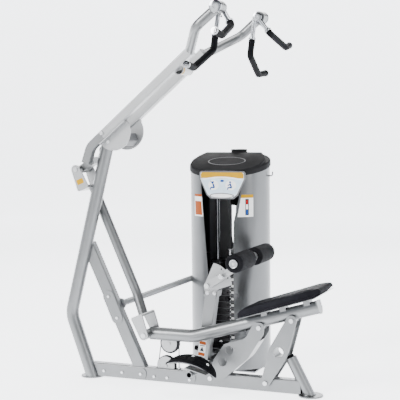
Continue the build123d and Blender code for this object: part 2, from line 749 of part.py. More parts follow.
def push_rod_tube():
    points = [(TOP_WEB[0], ROD_Y, TOP_WEB[1]), (ROD_CORNER[0], ROD_Y, ROD_CORNER[1]),
              (BOTTOM_WEB[0], 8, BOTTOM_WEB[1])]
    rod = round_tube(points, [150], ROD_R, WALL)
    for pin, web in ((ROD_TOP, TOP_WEB), (ROD_BOTTOM, BOTTOM_WEB)):
        length = math.dist(pin, web)
        angle = math.degrees(math.atan2(pin[0] - web[0], pin[1] - web[1]))
        rod -= Pos(pin[0], 0, pin[1]) * Rot(0, angle, 0) * box(-200, 200, -200, 200, -length - 12, 300)
    return rod.solids().sort_by(SortBy.VOLUME)[-1]


def rod_pins():
    """Headed pins of the two forks."""
    pins = []
    for pivot in (ROD_TOP, ROD_BOTTOM):
        pin = disc(pivot, 10, -CLEVIS_OUT, CLEVIS_OUT)
        for side in (-1, 1):
            y0, y1 = sorted((side * CLEVIS_OUT, side * (CLEVIS_OUT + 6)))
            pin += disc(pivot, 14, y0, y1)
        pins.append(pin)
    return pins


# ---- rockers ----------------------------------------------------------------------------

ROCKER_HOLES = ((191, 234), (150, 163))
REAR_HOLE = (484, 242)


def front_rocker():
    """Boomerang-shaped twin plates joined by a web along their rear edge."""
    outline = rounded([(340, 404, 26), (402, 404, 26), (398, 340, 30), (305, 196, 120), (160, 68, 60),
                       (84, 34, 16), (48, 34, 20), (98, 178, 60), (160, 268, 22), (290, 308, 60)])
    inside = rounded([(340, 404, 26), (392, 404, 20), (390, 342, 30), (299, 201, 115), (156, 75, 60),
                      (84, 22, 4), (30, 22, 4), (60, 200, 20), (160, 330, 22), (290, 420, 20)])
    rocker = slab(outline, -ROCKER_Y, ROCKER_Y)
    rocker -= slab(inside, ROCKER_T - ROCKER_Y, ROCKER_Y - ROCKER_T)
    rocker -= box(300, 460, ROCKER_T - ROCKER_Y, ROCKER_Y - ROCKER_T, 296, 500)
    rocker -= box(0, 215, ROCKER_T - ROCKER_Y, ROCKER_Y - ROCKER_T, 0, 104)
    for centre in ROCKER_HOLES:
        rocker -= disc(centre, 25, -100, 100)
    rocker -= disc(FRONT_BASE, 8 + RUNNING_FIT, -100, 100)
    rocker -= disc(FRONT_TOP, 8, -100, 100)
    return rocker


def rear_outline(shift, inset):
    return hull_of((REAR_BASE[0] + shift, REAR_BASE[1], 26 - inset), (REAR_HOLE[0] + shift, REAR_HOLE[1], 56 - inset),
                   (REAR_TOP[0] + shift, REAR_TOP[1], 30 - inset))


def rear_rocker():
    """Lens-shaped twin plates with a cross tube and a web along their rear edge."""
    inner_y = ROCKER_Y - ROCKER_T
    rocker = slab(rear_outline(0, 0), -ROCKER_Y, ROCKER_Y)
    rocker -= slab(rear_outline(0, 14), -inner_y, inner_y)
    rocker -= slab(rear_outline(-8, 14), -inner_y, inner_y)
    gap = slab(rear_outline(0, -5) - rear_outline(0, 14), -inner_y, inner_y)
    rocker -= gap
    web = slab(rear_outline(0, 14) - rear_outline(-8, 14), -inner_y, inner_y)
    web -= box(300, 700, -inner_y, inner_y, 372, 500)
    web -= box(300, 700, -inner_y, inner_y, 0, 118)
    web &= box(REAR_HOLE[0], 700, -inner_y, inner_y, 0, 500)
    rocker += web
    rocker -= disc(REAR_HOLE, 34, -100, 100)
    rocker += ring(REAR_HOLE, 34, 30, -ROCKER_Y, ROCKER_Y)
    rocker -= disc(REAR_BASE, 8 + RUNNING_FIT, -100, 100)
    rocker -= disc(REAR_TOP, 8, -100, 100)
    return rocker


def rocker_pin(pivot):
    pin = disc(pivot, 8, -ROCKER_Y, ROCKER_Y)
    for side in (-1, 1):
        y0, y1 = sorted((side * ROCKER_Y, side * (ROCKER_Y + 7)))
        pin += disc(pivot, 13, y0, y1)
    return pin


# ---- carriage and seat ------------------------------------------------------------------

SEAT_AXIS = Pos(SEAT_FRONT[0], 0, SEAT_FRONT[1]) * Rot(0, -SEAT_TILT, 0)


def carriage_tube():
    start = (ROD_BOTTOM[0] + 10, 0, ROD_BOTTOM[1])
    points = [start, (CARRIAGE_BEND[0], 0, CARRIAGE_BEND[1]), (CARRIAGE_END[0], 0, CARRIAGE_END[1])]
    tube = round_tube(points, [190], MAIN_R, WALL)
    sheave_x = CARRIAGE_SHEAVE[0]
    tube -= box(sheave_x - 66, sheave_x + 66, -17, 17, 200, CARRIAGE_BEND[1])
    tube -= disc(ROD_BOTTOM, 28, -100, 100)
    for pivot in (FRONT_TOP, REAR_TOP):
        tube -= disc(pivot, 19, -100, 100)
    tube = tube.solids().sort_by(SortBy.VOLUME)[-1]
    tube += ring(ROD_BOTTOM, 28, 10 + OPEN_PIVOT_SLACK, -CLEVIS_IN + 2, CLEVIS_IN - 2)
    inner = ROCKER_Y - ROCKER_T - 1
    tube += ring(FRONT_TOP, 19, 8 + RUNNING_FIT, -inner, inner)
    tube += ring(REAR_TOP, 19, 8 + 2.5, -inner, inner)
    return tube


def carriage_end_cap():
    """Plate that closes the tube's rear end and stands up to the seat pan."""
    slope = math.degrees(math.atan2(CARRIAGE_END[1] - CARRIAGE_BEND[1], CARRIAGE_END[0] - CARRIAGE_BEND[0]))
    frame = Pos(CARRIAGE_END[0], 0, CARRIAGE_END[1]) * Rot(0, -slope, 0)
    outline = hull_of((0, 0, 40), (-34, 34, 4), (34, 34, 4))
    cap = extrude(Plane.YZ * outline, amount=7)
    return frame * Pos(0.1, 0, 0) * cap


def seat_brackets():
    """Short risers between the tube and the seat pan."""
    risers = []
    for distance in (120, 235, 380):
        riser = SEAT_AXIS * box(distance - 18, distance + 18, -30, 30, -60, -4.2)
        tube = round_tube([(CARRIAGE_BEND[0], 0, CARRIAGE_BEND[1]), (CARRIAGE_END[0], 0, CARRIAGE_END[1])],
                          [], MAIN_R, 0)
        top = (riser - tube).solids().sort_by(Axis.Z)[-1]
        risers.append(top)
    return risers


def seat_pan():
    """Steel pan whose rear edge turns up behind the pad."""
    half = SEAT_WIDTH / 2 - 12
    pan = box(-4, SEAT_LENGTH - 46, -half, half, -4, -0.2)
    pan += Pos(SEAT_LENGTH - 46, 0, -2.1) * Rot(0, -14, 0) * box(0, 40, -half, half, -1.9, 1.9)
    return SEAT_AXIS * pan


def seat_pad():
    outline = rounded([(-8, 2, 10), (0, 34, 14), (52, SEAT_THICK, 60), (SEAT_LENGTH - 60, SEAT_THICK + 4, 60),
                       (SEAT_LENGTH - 2, SEAT_THICK - 4, 16), (SEAT_LENGTH + 8, 14, 8),
                       (SEAT_LENGTH - 54, 0, 10)])
    pad = slab(outline, -SEAT_WIDTH / 2, SEAT_WIDTH / 2)
    plan = Pos(SEAT_LENGTH / 2, 0, -20) * extrude(RectangleRounded(SEAT_LENGTH + 16, SEAT_WIDTH, 45), amount=120)
    return SEAT_AXIS * (pad & plan)


def sheave(centre, y0, y1):
    """Grooved cable wheel, its axis along Y."""
    wheel = ring(centre, SHEAVE_R, 8 + RUNNING_FIT, y0, y1)
    groove = Pos(centre[0], (y0 + y1) / 2, centre[1]) * Rot(90, 0, 0) * Torus(SHEAVE_CABLE_R + 1, CABLE_R + 1.2)
    rim = ring(centre, SHEAVE_R + 1, SHEAVE_CABLE_R + 1, (y0 + y1) / 2 - 4.2, (y0 + y1) / 2 + 4.2)
    return wheel - groove - rim


def pulley_covers(centre, radius, stem_z):
    """Two side discs with the wheel's axle between them, and stems to the frame at stem_z."""
    covers = disc(centre, 8, -17, 17)
    for side in (-1, 1):
        y0, y1 = sorted((side * 10.5, side * 13))
        covers += disc(centre, 12, y0, y1)
        y0, y1 = sorted((side * 13, side * 17))
        covers += disc(centre, radius, y0, y1)
        covers += box(centre[0] - 22, centre[0] + 22, y0, y1, *sorted((stem_z, centre[1])))
        y0, y1 = sorted((side * 17, side * 23))
        covers += slab(Pos(*centre) * RegularPolygon(10, 6), y0, y1)
    return covers


# ---- thigh rollers ----------------------------------------------------------------------

def thigh_arm():
    """Swinging arm from the post to the middle of the roller shaft."""
    arm = slab(hull_of((*THIGH_PIVOT, 20), (*along(THIGH_PIVOT, ROLLER_AXIS, 300), 20)), 2, 28)
    arm += disc(THIGH_PIVOT, 20, 2, 60)
    arm += ring(ROLLER_AXIS, 24, 16, -28, 28)
    arm -= disc(ROLLER_AXIS, 16, -60, 60)
    arm -= disc(THIGH_PIVOT, 8 + RUNNING_FIT, -10, 80)
    pin = polar(THIGH_PIVOT, SECTOR_HOLE_R, THIGH_ANGLE)
    return arm - disc(pin, 5 + RUNNING_FIT, -10, 80)


def thigh_pivot_bolt():
    shank = disc(THIGH_PIVOT, 8, -4, 78)
    shank += disc(THIGH_PIVOT, 14, -10, 0)
    return shank + slab(Pos(*THIGH_PIVOT) * RegularPolygon(14, 6), 68, 78)


def roller_shaft():
    """Chromed shaft with an end disc outside each roller."""
    shaft = disc(ROLLER_AXIS, 16, -ROLLER_END - 6, ROLLER_END + 6)
    for side in (-1, 1):
        y0, y1 = sorted((side * (ROLLER_END + 1), side * (ROLLER_END + 7)))
        shaft += disc(ROLLER_AXIS, ROLLER_CAP_R, y0, y1)
    return shaft


def roller(side):
    return ring(ROLLER_AXIS, ROLLER_R, 16 + RUNNING_FIT, *sorted((side * ROLLER_GAP, side * ROLLER_END)))


def lock_pin():
    centre = polar(THIGH_PIVOT, SECTOR_HOLE_R, THIGH_ANGLE)
    pin = disc(centre, 5, -4, 61.5)
    pin += disc(centre, 9, -12, -5.5)
    knob = disc(centre, 15, -30, -12)
    return pin + fillet(knob.edges(), 5)


# ---- cable and its wheels ---------------------------------------------------------------

def corner_sheave():
    x, y = CORNER_SHEAVE
    wheel = Pos(x, y, CORNER_Z) * (Cylinder(CORNER_CABLE_R + 4, 14) - Cylinder(6 + RUNNING_FIT, 20))
    return wheel - Pos(x, y, CORNER_Z) * (Cylinder(CORNER_CABLE_R + 9, 7.6) - Cylinder(CORNER_CABLE_R - CABLE_R - 0.4, 8))


def sheave_along_x(centre_y, centre_z, cable_r, bore):
    wheel = Pos(TOWER_X, centre_y, centre_z) * Rot(0, 90, 0) * (
        Cylinder(cable_r + 5, 16) - Cylinder(bore + RUNNING_FIT, 30)
        - (Cylinder(cable_r + 9, 7.6) - Cylinder(cable_r - CABLE_R - 0.4, 8)))
    return wheel


TOWER_SHEAVE_Z = CORNER_Z + TOWER_SHEAVE_R


def sheave_axles():
    """Axles of the corner wheel and of the wheel at the foot of the tower."""
    x, y = CORNER_SHEAVE
    corner = Pos(x, y, 47) * Cylinder(6, 52)
    y0, y1 = TOWER_SHEAVE_Y - 16, TOWER_SHEAVE_Y + 16
    bracket = box(TOWER_X - 24, TOWER_X + 24, y0, y1, CHANNEL_TOP, TOWER_SHEAVE_Z + 14)
    bracket -= box(TOWER_X - 11, TOWER_X + 11, y0 - 1, y1 + 1, 60, 200)
    axle = Plane(origin=(TOWER_X - 28, TOWER_SHEAVE_Y, TOWER_SHEAVE_Z), z_dir=(1, 0, 0))
    return corner, bracket + axle * extrude(Circle(7), amount=56), cable_anchor()


def cable():
    """Tight steel cable from its anchor on the rail to the top of the selector stem."""
    z_run = CORNER_Z
    up_x = CARRIAGE_SHEAVE[0] + SHEAVE_CABLE_R
    cable_x, cable_z = CARRIAGE_SHEAVE
    base_x, base_z = BASE_SHEAVE
    lean = math.atan2(cable_x - base_x, cable_z - base_z)
    off_x, off_z = SHEAVE_CABLE_R * math.cos(lean), -SHEAVE_CABLE_R * math.sin(lean)
    left_top = (cable_x - off_x, 0, cable_z - off_z)
    left_low = (base_x - off_x, 0, base_z - off_z)
    first = ThreePointArc((up_x, 0, cable_z), (cable_x, 0, cable_z + SHEAVE_CABLE_R), left_top)
    mid_angle = math.radians(225) + lean / 2
    second = ThreePointArc(left_low, (base_x + SHEAVE_CABLE_R * math.cos(mid_angle), 0,
                                      base_z + SHEAVE_CABLE_R * math.sin(mid_angle)),
                           (base_x, 0, base_z - SHEAVE_CABLE_R))
    turn_x, turn_y = CORNER_SHEAVE
    quarter = CORNER_CABLE_R * math.sqrt(0.5)
    third = ThreePointArc((turn_x, 0, z_run), (turn_x + quarter, turn_y - quarter, z_run),
                          (turn_x + CORNER_CABLE_R, turn_y, z_run))
    quarter = TOWER_SHEAVE_R * math.sqrt(0.5)
    fourth = ThreePointArc((TOWER_X, TOWER_SHEAVE_Y, z_run),
                           (TOWER_X, TOWER_SHEAVE_Y + quarter, TOWER_SHEAVE_Z - quarter),
                           (TOWER_X, TOWER_SHEAVE_Y + TOWER_SHEAVE_R, TOWER_SHEAVE_Z))
    fifth = ThreePointArc((TOWER_X, TOP_SHEAVE_Y + TOP_SHEAVE_R, TOP_SHEAVE_Z),
                          (TOWER_X, TOP_SHEAVE_Y, TOP_SHEAVE_Z + TOP_SHEAVE_R), (TOWER_X, TOWER_Y, TOP_SHEAVE_Z))
    runs = [Line((up_x, 0, 172), first @ 0), first, Line(first @ 1, second @ 0), second,
            Line(second @ 1, third @ 0), third, Line(third @ 1, fourth @ 0), fourth,
            Line(fourth @ 1, fifth @ 0), fifth, Line(fifth @ 1, (TOWER_X, TOWER_Y, STACK_TOP + 163.2))]
    path = Wire(runs)
    solid = sweep(Plane(origin=path @ 0, z_dir=path % 0) * Circle(CABLE_R), path=path)
    print("cable length", round(path.length), "volume ratio",
          round(solid.volume / (math.pi * CABLE_R ** 2 * path.length), 4))
    return solid


def cable_anchor():
    """Threaded stud on the rail that holds the cable's fixed end."""
    x = CARRIAGE_SHEAVE[0] + SHEAVE_CABLE_R
    anchor = Pos(x, 0, (88 + 150) / 2) * Cylinder(5, 150 - 88)
    anchor += Pos(x, 0, 158) * Cylinder(7, 28)
    return anchor + Pos(x, 0, 92) * Cylinder(12, 8)


def towel_hook():
    """Hook on the seat side of the tower, just under the cap."""
    x = TOWER_X + TOWER_A
    return round_tube([(x + 0.2, 500, 1200), (x + 26, 500, 1200), (x + 26, 500, 1226)], [12], 4, 0)


def build():
    os.makedirs("parts", exist_ok=True)
    place("base_rail", base_rail())
    place("splice_plates", *splice_plates())
    place("frame_bolts", *frame_bolts(), thigh_pivot_bolt())
    place("foot_plates", *foot_plates())
    place("rear_upright", rear_upright())
    place("slanted_column", slanted_column())
    place("rear_leg", rear_leg())
    place("stop_bumpers", *stop_bumpers())
    place("cross_channel", cross_channel())
    place("tower_strut", tower_strut())
    place("rocker_shafts", *rocker_shafts())
    place("thigh_post", thigh_post())
    place("sector_plate", sector_plate())
    place("foot_bar", foot_bar())
    place("foot_pads", *foot_pads())
    place("base_pulley_covers", pulley_covers(BASE_SHEAVE, 55, RAIL_Z + WALL))
    place("cable_hardware", *sheave_axles())
    place("cable", cable())
    place("tower_frame", tower_frame())
    place("guide_rods", *guide_rods())
    place("weight_stack", *[weight_plate(i) for i in range(PIN_PLATE)])
    place("shroud_left", shroud_half(-1))
    place("shroud_right", shroud_half(1), towel_hook())
    place("shroud_back", shroud_back())
    place("tower_cap", tower_cap(), cup_holder())
    place("placard", *placard())

    place("arm_beams", arm_beam(-1), arm_beam(1), arm_cross_tube())
    place("arm_lever", *arm_lever())
    place("pivot_plates", pivot_plate(-1), pivot_plate(1))
    place("arm_axle", *arm_axle())
    place("pivot_block", pivot_block())
    place("arm_tubes", arm_tube(-1), arm_tube(1))
    for side, name in ((-1, "near"), (1, "far")):
        place("handle_" + name, handle_frame(side))
        place("grips_" + name, *grips(side))

    place("push_rod_tube", push_rod_tube())
    place("rod_forks", clevis(ROD_TOP, TOP_WEB), clevis(ROD_BOTTOM, BOTTOM_WEB))
    place("rod_pins", *rod_pins())

    place("front_rocker", front_rocker())
    place("front_rocker_pin", rocker_pin(FRONT_TOP))
    place("rear_rocker", rear_rocker())
    place("rear_rocker_pin", rocker_pin(REAR_TOP))

    place("carriage_tube", carriage_tube(), carriage_end_cap())
    place("seat_pan", seat_pan(), *seat_brackets())
    place("seat_pad", seat_pad())
    tube_under = CARRIAGE_BEND[1] - MAIN_R
    place("carriage_pulley_covers", pulley_covers(CARRIAGE_SHEAVE, 49, tube_under))
    place("carriage_sheave", sheave(CARRIAGE_SHEAVE, -9, 9))
    place("base_sheave", sheave(BASE_SHEAVE, -9, 9))
    place("corner_sheave", corner_sheave())
    place("tower_sheave", sheave_along_x(TOWER_SHEAVE_Y, TOWER_SHEAVE_Z, TOWER_SHEAVE_R, 7))
    place("top_sheave", sheave_along_x(TOP_SHEAVE_Y, TOP_SHEAVE_Z, TOP_SHEAVE_R, 8))

    place("thigh_arm", thigh_arm())
    place("roller_shaft", roller_shaft())
    place("roller_near", roller(-1))
    place("roller_far", roller(1))
    place("lock_pin", lock_pin())

    lifted = [weight_plate(i) for i in range(PIN_PLATE, PLATE_COUNT)]
    place("lifted_plates", *lifted, *top_plate_blocks())
    place("selector_stem", selector_stem())
    place("selector_pin", selector_pin())


build()
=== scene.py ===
import json
import math

import bmesh
import bpy
from mathutils import Matrix, Vector, noise


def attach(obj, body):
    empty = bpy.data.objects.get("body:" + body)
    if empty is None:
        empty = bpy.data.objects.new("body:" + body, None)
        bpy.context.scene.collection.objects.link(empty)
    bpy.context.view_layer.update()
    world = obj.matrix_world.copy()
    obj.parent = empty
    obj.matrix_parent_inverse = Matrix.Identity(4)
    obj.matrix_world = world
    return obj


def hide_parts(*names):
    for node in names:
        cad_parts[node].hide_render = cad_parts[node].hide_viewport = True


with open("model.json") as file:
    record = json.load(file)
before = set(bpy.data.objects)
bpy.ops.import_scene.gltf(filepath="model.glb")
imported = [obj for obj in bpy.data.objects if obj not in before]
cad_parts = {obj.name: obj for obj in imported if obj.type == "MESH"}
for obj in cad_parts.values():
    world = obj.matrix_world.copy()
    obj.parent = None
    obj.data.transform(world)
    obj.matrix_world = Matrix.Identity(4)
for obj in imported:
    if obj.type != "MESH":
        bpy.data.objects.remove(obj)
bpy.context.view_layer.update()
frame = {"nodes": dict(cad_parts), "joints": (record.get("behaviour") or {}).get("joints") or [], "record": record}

# Places are given in rail coordinates, the ones the machine is drawn in: millimetres, X = 0 near
# the foot rests, Y = 0 on the base rail's middle plane. at() turns them into the row frame.
REAR_BOLTS_X = -716
MOUNTS = {mount["name"]: mount for mount in frame["record"]["mounts"]}
JOINTS = {joint["name"]: joint for joint in frame["joints"]}
RAIL_ORIGIN = Vector(MOUNTS["rear_floor_bolts"]["pos_m"]) - Vector((REAR_BOLTS_X / 1000, 0, 0))


def at(x, y, z):
    return RAIL_ORIGIN + Vector((x, y, z)) / 1000


def joint_at(name):
    return Vector(JOINTS[name]["pos_m"])


TOWER_X = -5
TOWER_Y = 500
SHROUD_MIDDLE_Z = 640
STACK_BASE = 99
PLATE_PITCH = 40
SIDES = ((-1, "near"), (1, "far"))

# ---- camera, floor and light ----

CAMERA_PLACE = (2.3744, -5.6281, 1.5436)
CAMERA_AZIMUTH = 0.393438
CAMERA_PITCH = math.radians(90 - 4.3432)
CAMERA_ROLL = -0.0102393
CAMERA_LENS = 95.11


def make_camera():
    data = bpy.data.cameras.new("camera")
    data.lens = CAMERA_LENS
    data.sensor_width = 36
    camera = bpy.data.objects.new("camera", data)
    turn = (Matrix.Rotation(CAMERA_AZIMUTH, 4, "Z") @ Matrix.Rotation(CAMERA_PITCH, 4, "X")
            @ Matrix.Rotation(CAMERA_ROLL, 4, "Z"))
    camera.matrix_world = Matrix.Translation(CAMERA_PLACE) @ turn
    bpy.context.scene.collection.objects.link(camera)
    bpy.context.scene.camera = camera


def area_light(name, place, target, size, power, tint=(1, 1, 1)):
    data = bpy.data.lights.new(name, "AREA")
    data.shape = "RECTANGLE"
    data.size, data.size_y = size
    data.energy = power
    data.color = tint
    lamp = bpy.data.objects.new(name, data)
    direction = Vector(target) - Vector(place)
    lamp.matrix_world = Matrix.Translation(place) @ direction.to_track_quat("-Z", "Y").to_matrix().to_4x4()
    bpy.context.scene.collection.objects.link(lamp)


def light_the_studio():
    area_light("key", (-3.4, -4.6, 4.4), (0, 0, 0.9), (2.2, 3.0), 520)
    area_light("fill", (5.0, -2.6, 2.6), (0, 0, 1.0), (1.2, 3.4), 110)
    area_light("overhead", (0.2, 0.2, 5.6), (0, 0, 0), (4.0, 3.0), 230)
    area_light("rear", (-1.5, 5.2, 3.6), (0, 0, 1.0), (4.0, 2.4), 170)
    area_light("softbox", (-2.4, -5.8, 1.5), (0, 0, 0.9), (3.2, 3.0), 66)
    world = bpy.data.worlds.new("studio")
    bpy.context.scene.world = world
    world.use_nodes = True
    background = world.node_tree.nodes["Background"]
    background.inputs["Color"].default_value = (0.93, 0.95, 1.0, 1)
    background.inputs["Strength"].default_value = 0.12


# ---- node helpers ----

class Paint:
    """A material under construction: a Principled shader and the nodes that feed it."""

    def __init__(self, name):
        self.material = bpy.data.materials.new(name)
        self.material.use_nodes = True
        self.tree = self.material.node_tree
        self.shader = self.tree.nodes["Principled BSDF"]
        coordinates = self.tree.nodes.new("ShaderNodeTexCoord")
        self.place = coordinates.outputs["Object"]
        self.normal = coordinates.outputs["Normal"]

    def set(self, **values):
        for key, value in values.items():
            self.shader.inputs[key.replace("_", " ")].default_value = value
        return self

    def link(self, source, target):
        self.tree.links.new(source, target)

    def noise(self, scale, detail=2.0, stretch=None):
        node = self.tree.nodes.new("ShaderNodeTexNoise")
        node.inputs["Scale"].default_value = scale
        node.inputs["Detail"].default_value = detail
        self.link(self.stretched(stretch) if stretch else self.place, node.inputs["Vector"])
        return node.outputs["Fac"]

    def stretched(self, scale):
        node = self.tree.nodes.new("ShaderNodeMapping")
        node.inputs["Scale"].default_value = scale
        self.link(self.place, node.inputs["Vector"])
        return node.outputs["Vector"]

    def cells(self, scale, feature="F1"):
        node = self.tree.nodes.new("ShaderNodeTexVoronoi")
        node.feature = feature
        node.inputs["Scale"].default_value = scale
        self.link(self.place, node.inputs["Vector"])
        return node.outputs["Distance"]

    def between(self, fac, low, high, start=0.3, end=0.7):
        """Colours from low to high as fac goes from start to end."""
        node = self.tree.nodes.new("ShaderNodeValToRGB")
        node.color_ramp.elements[0].position = start
        node.color_ramp.elements[0].color = (*low, 1)
        node.color_ramp.elements[1].position = end
        node.color_ramp.elements[1].color = (*high, 1)
        self.link(fac, node.inputs["Fac"])
        return node.outputs["Color"]

    def rescale(self, fac, low, high, start=0.3, end=0.7):
        node = self.tree.nodes.new("ShaderNodeMapRange")
        node.inputs["From Min"].default_value = start
        node.inputs["From Max"].default_value = end
        node.inputs["To Min"].default_value = low
        node.inputs["To Max"].default_value = high
        self.link(fac, node.inputs["Value"])
        return node.outputs["Result"]

    def add(self, a, b, kind="ADD"):
        node = self.tree.nodes.new("ShaderNodeMath")
        node.operation = kind
        for k, value in enumerate((a, b)):
            if isinstance(value, (int, float)):
                node.inputs[k].default_value = value
            else:
                self.link(value, node.inputs[k])
        return node.outputs["Value"]

    def bump(self, height, strength, distance):
        node = self.tree.nodes.new("ShaderNodeBump")
        node.inputs["Strength"].default_value = strength
        node.inputs["Distance"].default_value = distance
        self.link(height, node.inputs["Height"])
        self.link(node.outputs["Normal"], self.shader.inputs["Normal"])

    def colour(self, socket):
        self.link(socket, self.shader.inputs["Base Color"])

    def roughness(self, socket):
        self.link(socket, self.shader.inputs["Roughness"])


def shade(colour, factor):
    return tuple(c * factor for c in colour)


# ---- materials ----

def powder_coat(name, colour, metallic=0.0, rough=(0.32, 0.46), peel=0.25):
    """Sprayed coat: faint cloudiness, metallic fleck and orange peel."""
    p = Paint(name)
    cloud = p.noise(5.0, 4.0)
    fleck = p.noise(900.0, 1.0)
    mix = p.add(p.add(cloud, 0.72, "MULTIPLY"), p.add(fleck, 0.28, "MULTIPLY"))
    p.colour(p.between(mix, shade(colour, 0.9), shade(colour, 1.07)))
    p.roughness(p.rescale(p.noise(11.0, 5.0), *rough))
    p.bump(p.noise(420.0, 2.0), peel, 0.0004)
    return p.set(Metallic=metallic, Coat_Weight=0.35, Coat_Roughness=0.16).material


def bare_steel(name, colour, rough):
    """Machined steel with fine turning marks and small stains."""
    p = Paint(name)
    p.colour(p.between(p.noise(60.0, 4.0), shade(colour, 0.78), colour))
    p.roughness(p.rescale(p.noise(38.0, 6.0), *rough))
    p.bump(p.noise(1500.0, 1.0, (1, 0.05, 1)), 0.25, 0.0002)
    return p.set(Metallic=1.0).material


def chrome():
    p = Paint("chrome")
    p.colour(p.between(p.noise(26.0, 4.0), (0.30, 0.31, 0.33), (0.44, 0.45, 0.47)))
    p.roughness(p.rescale(p.noise(45.0, 6.0), 0.07, 0.17))
    p.bump(p.noise(140.0, 2.0), 0.05, 0.0003)
    return p.set(Metallic=1.0).material


def moulded(name, colour, rough=(0.42, 0.58), grain=260.0, depth=0.3):
    """Textured moulded plastic or rubber with a pebbled skin."""
    p = Paint(name)
    p.colour(p.between(p.noise(7.0, 4.0), shade(colour, 0.8), shade(colour, 1.25)))
    p.roughness(p.rescale(p.noise(30.0, 5.0), *rough))
    p.bump(p.cells(grain), depth, 0.0005)
    return p.set(Specular_IOR_Level=0.03).material


def vinyl():
    """Upholstery vinyl: creased leather grain with a soft sheen."""
    p = Paint("vinyl")
    p.colour(p.between(p.noise(9.0, 5.0), (0.007, 0.007, 0.009), (0.014, 0.014, 0.017)))
    p.roughness(p.rescale(p.noise(24.0, 5.0), 0.46, 0.60))
    grain = p.add(p.cells(330.0), p.add(p.noise(90.0, 4.0), 0.8, "MULTIPLY"))
    p.bump(grain, 0.32, 0.0007)
    return p.set(Specular_IOR_Level=0.02).material


def foam():
    """Closed-cell roller foam with a fine open-pored skin."""
    p = Paint("foam")
    p.colour(p.between(p.noise(14.0, 5.0), (0.005, 0.005, 0.006), (0.010, 0.010, 0.012)))
    p.roughness(p.rescale(p.noise(70.0, 4.0), 0.58, 0.74))
    p.bump(p.add(p.cells(620.0), p.noise(160.0, 3.0)), 0.4, 0.0006)
    return p.set(Specular_IOR_Level=0.03).material


def faces_the_axis(p, axis):
    """1 on faces turned away from an upright axis, 0 on faces turned towards it."""
    outward = p.tree.nodes.new("ShaderNodeVectorMath")
    outward.operation = "SUBTRACT"
    p.link(p.place, outward.inputs[0])
    outward.inputs[1].default_value = axis
    along = p.tree.nodes.new("ShaderNodeVectorMath")
    along.operation = "DOT_PRODUCT"
    p.link(outward.outputs["Vector"], along.inputs[0])
    p.link(p.normal, along.inputs[1])
    return p.add(along.outputs["Value"], 0.0, "GREATER_THAN")


def shroud_paint():
    """Silver metallic lacquer outside, painted shade (a flat dark colour) on the inner faces, and a slight
    waviness of the sheet.
    """
    p = Paint("shroud_paint")
    fleck = p.add(p.noise(1100.0, 1.0), 0.35, "MULTIPLY")
    lacquer = p.between(p.add(fleck, p.add(p.noise(2.2, 3.0), 0.65, "MULTIPLY")),
                        (0.105, 0.108, 0.112), (0.150, 0.154, 0.158))
    # Painted shade: faces turned towards the tower's axis, inside the shroud, get a flat dark colour instead of
    # the lacquer.
    choice = p.tree.nodes.new("ShaderNodeMix")
    choice.data_type = "RGBA"
    p.link(faces_the_axis(p, at(TOWER_X, TOWER_Y, SHROUD_MIDDLE_Z)), choice.inputs["Factor"])
    choice.inputs[6].default_value = (0.070, 0.072, 0.075, 1)
    p.link(lacquer, choice.inputs[7])
    p.colour(choice.outputs[2])
    p.roughness(p.rescale(p.noise(6.0, 5.0), 0.27, 0.35))
    p.bump(p.add(p.noise(3.0, 2.0, (1, 1, 0.35)), p.add(p.noise(500.0, 1.0), 0.06, "MULTIPLY")), 0.25, 0.004)
    return p.set(Metallic=0.95, Coat_Weight=0.3, Coat_Roughness=0.12).material


def cast_plate():
    """Black painted weight plates, lighter near each plate's upper and lower edge: thin worn paint there, plus a
    painted highlight where the edges catch the light.
    """
    p = Paint("weight_paint")
    split = p.tree.nodes.new("ShaderNodeSeparateXYZ")
    p.link(p.place, split.inputs["Vector"])
    step = p.add(p.add(split.outputs["Z"], STACK_BASE / 1000, "SUBTRACT"), PLATE_PITCH / 1000, "DIVIDE")
    share = p.add(step, 1.0, "FLOORED_MODULO")
    off_middle = p.add(share, 0.5, "SUBTRACT")
    edge = p.add(p.add(off_middle, off_middle, "MULTIPLY"), 4.0, "MULTIPLY")
    # Painted highlight and wear: the colour lightens near each plate's upper and lower edge, set by height alone.
    edge_wear_and_highlight = p.add(edge, p.add(p.noise(120.0, 5.0), 0.22, "MULTIPLY"))
    p.colour(p.between(edge_wear_and_highlight, (0.012, 0.012, 0.014), (0.11, 0.115, 0.12), 0.86, 1.16))
    p.roughness(p.rescale(p.noise(50.0, 5.0), 0.34, 0.52))
    p.bump(p.noise(240.0, 3.0), 0.3, 0.0006)
    return p.material


def liner():
    p = Paint("liner")
    p.colour(p.between(p.noise(4.0, 4.0), (0.065, 0.067, 0.071), (0.105, 0.107, 0.112)))
    p.roughness(p.rescale(p.noise(25.0, 4.0), 0.35, 0.5))
    p.bump(p.noise(380.0, 2.0), 0.2, 0.0004)
    return p.material


def cable_jacket():
    """Nylon jacket with the lay of the steel strands showing through."""
    p = Paint("cable")
    p.colour(p.between(p.noise(80.0, 3.0), (0.02, 0.021, 0.023), (0.05, 0.052, 0.056)))
    p.roughness(p.rescale(p.noise(90.0, 3.0), 0.25, 0.4))
    wave = p.tree.nodes.new("ShaderNodeTexWave")
    wave.inputs["Scale"].default_value = 120.0
    wave.bands_direction = "DIAGONAL"
    p.link(p.place, wave.inputs["Vector"])
    p.bump(wave.outputs["Fac"], 0.4, 0.0004)
    return p.material


def printed(name, colour):
    """Ink on a glossy label film."""
    p = Paint("print_" + name)
    p.colour(p.between(p.noise(35.0, 4.0), shade(colour, 0.92), shade(colour, 1.04)))
    p.roughness(p.rescale(p.noise(80.0, 4.0), 0.28, 0.42))
    p.bump(p.noise(650.0, 1.0), 0.08, 0.0002)
    return p.set(Specular_IOR_Level=0.15).material


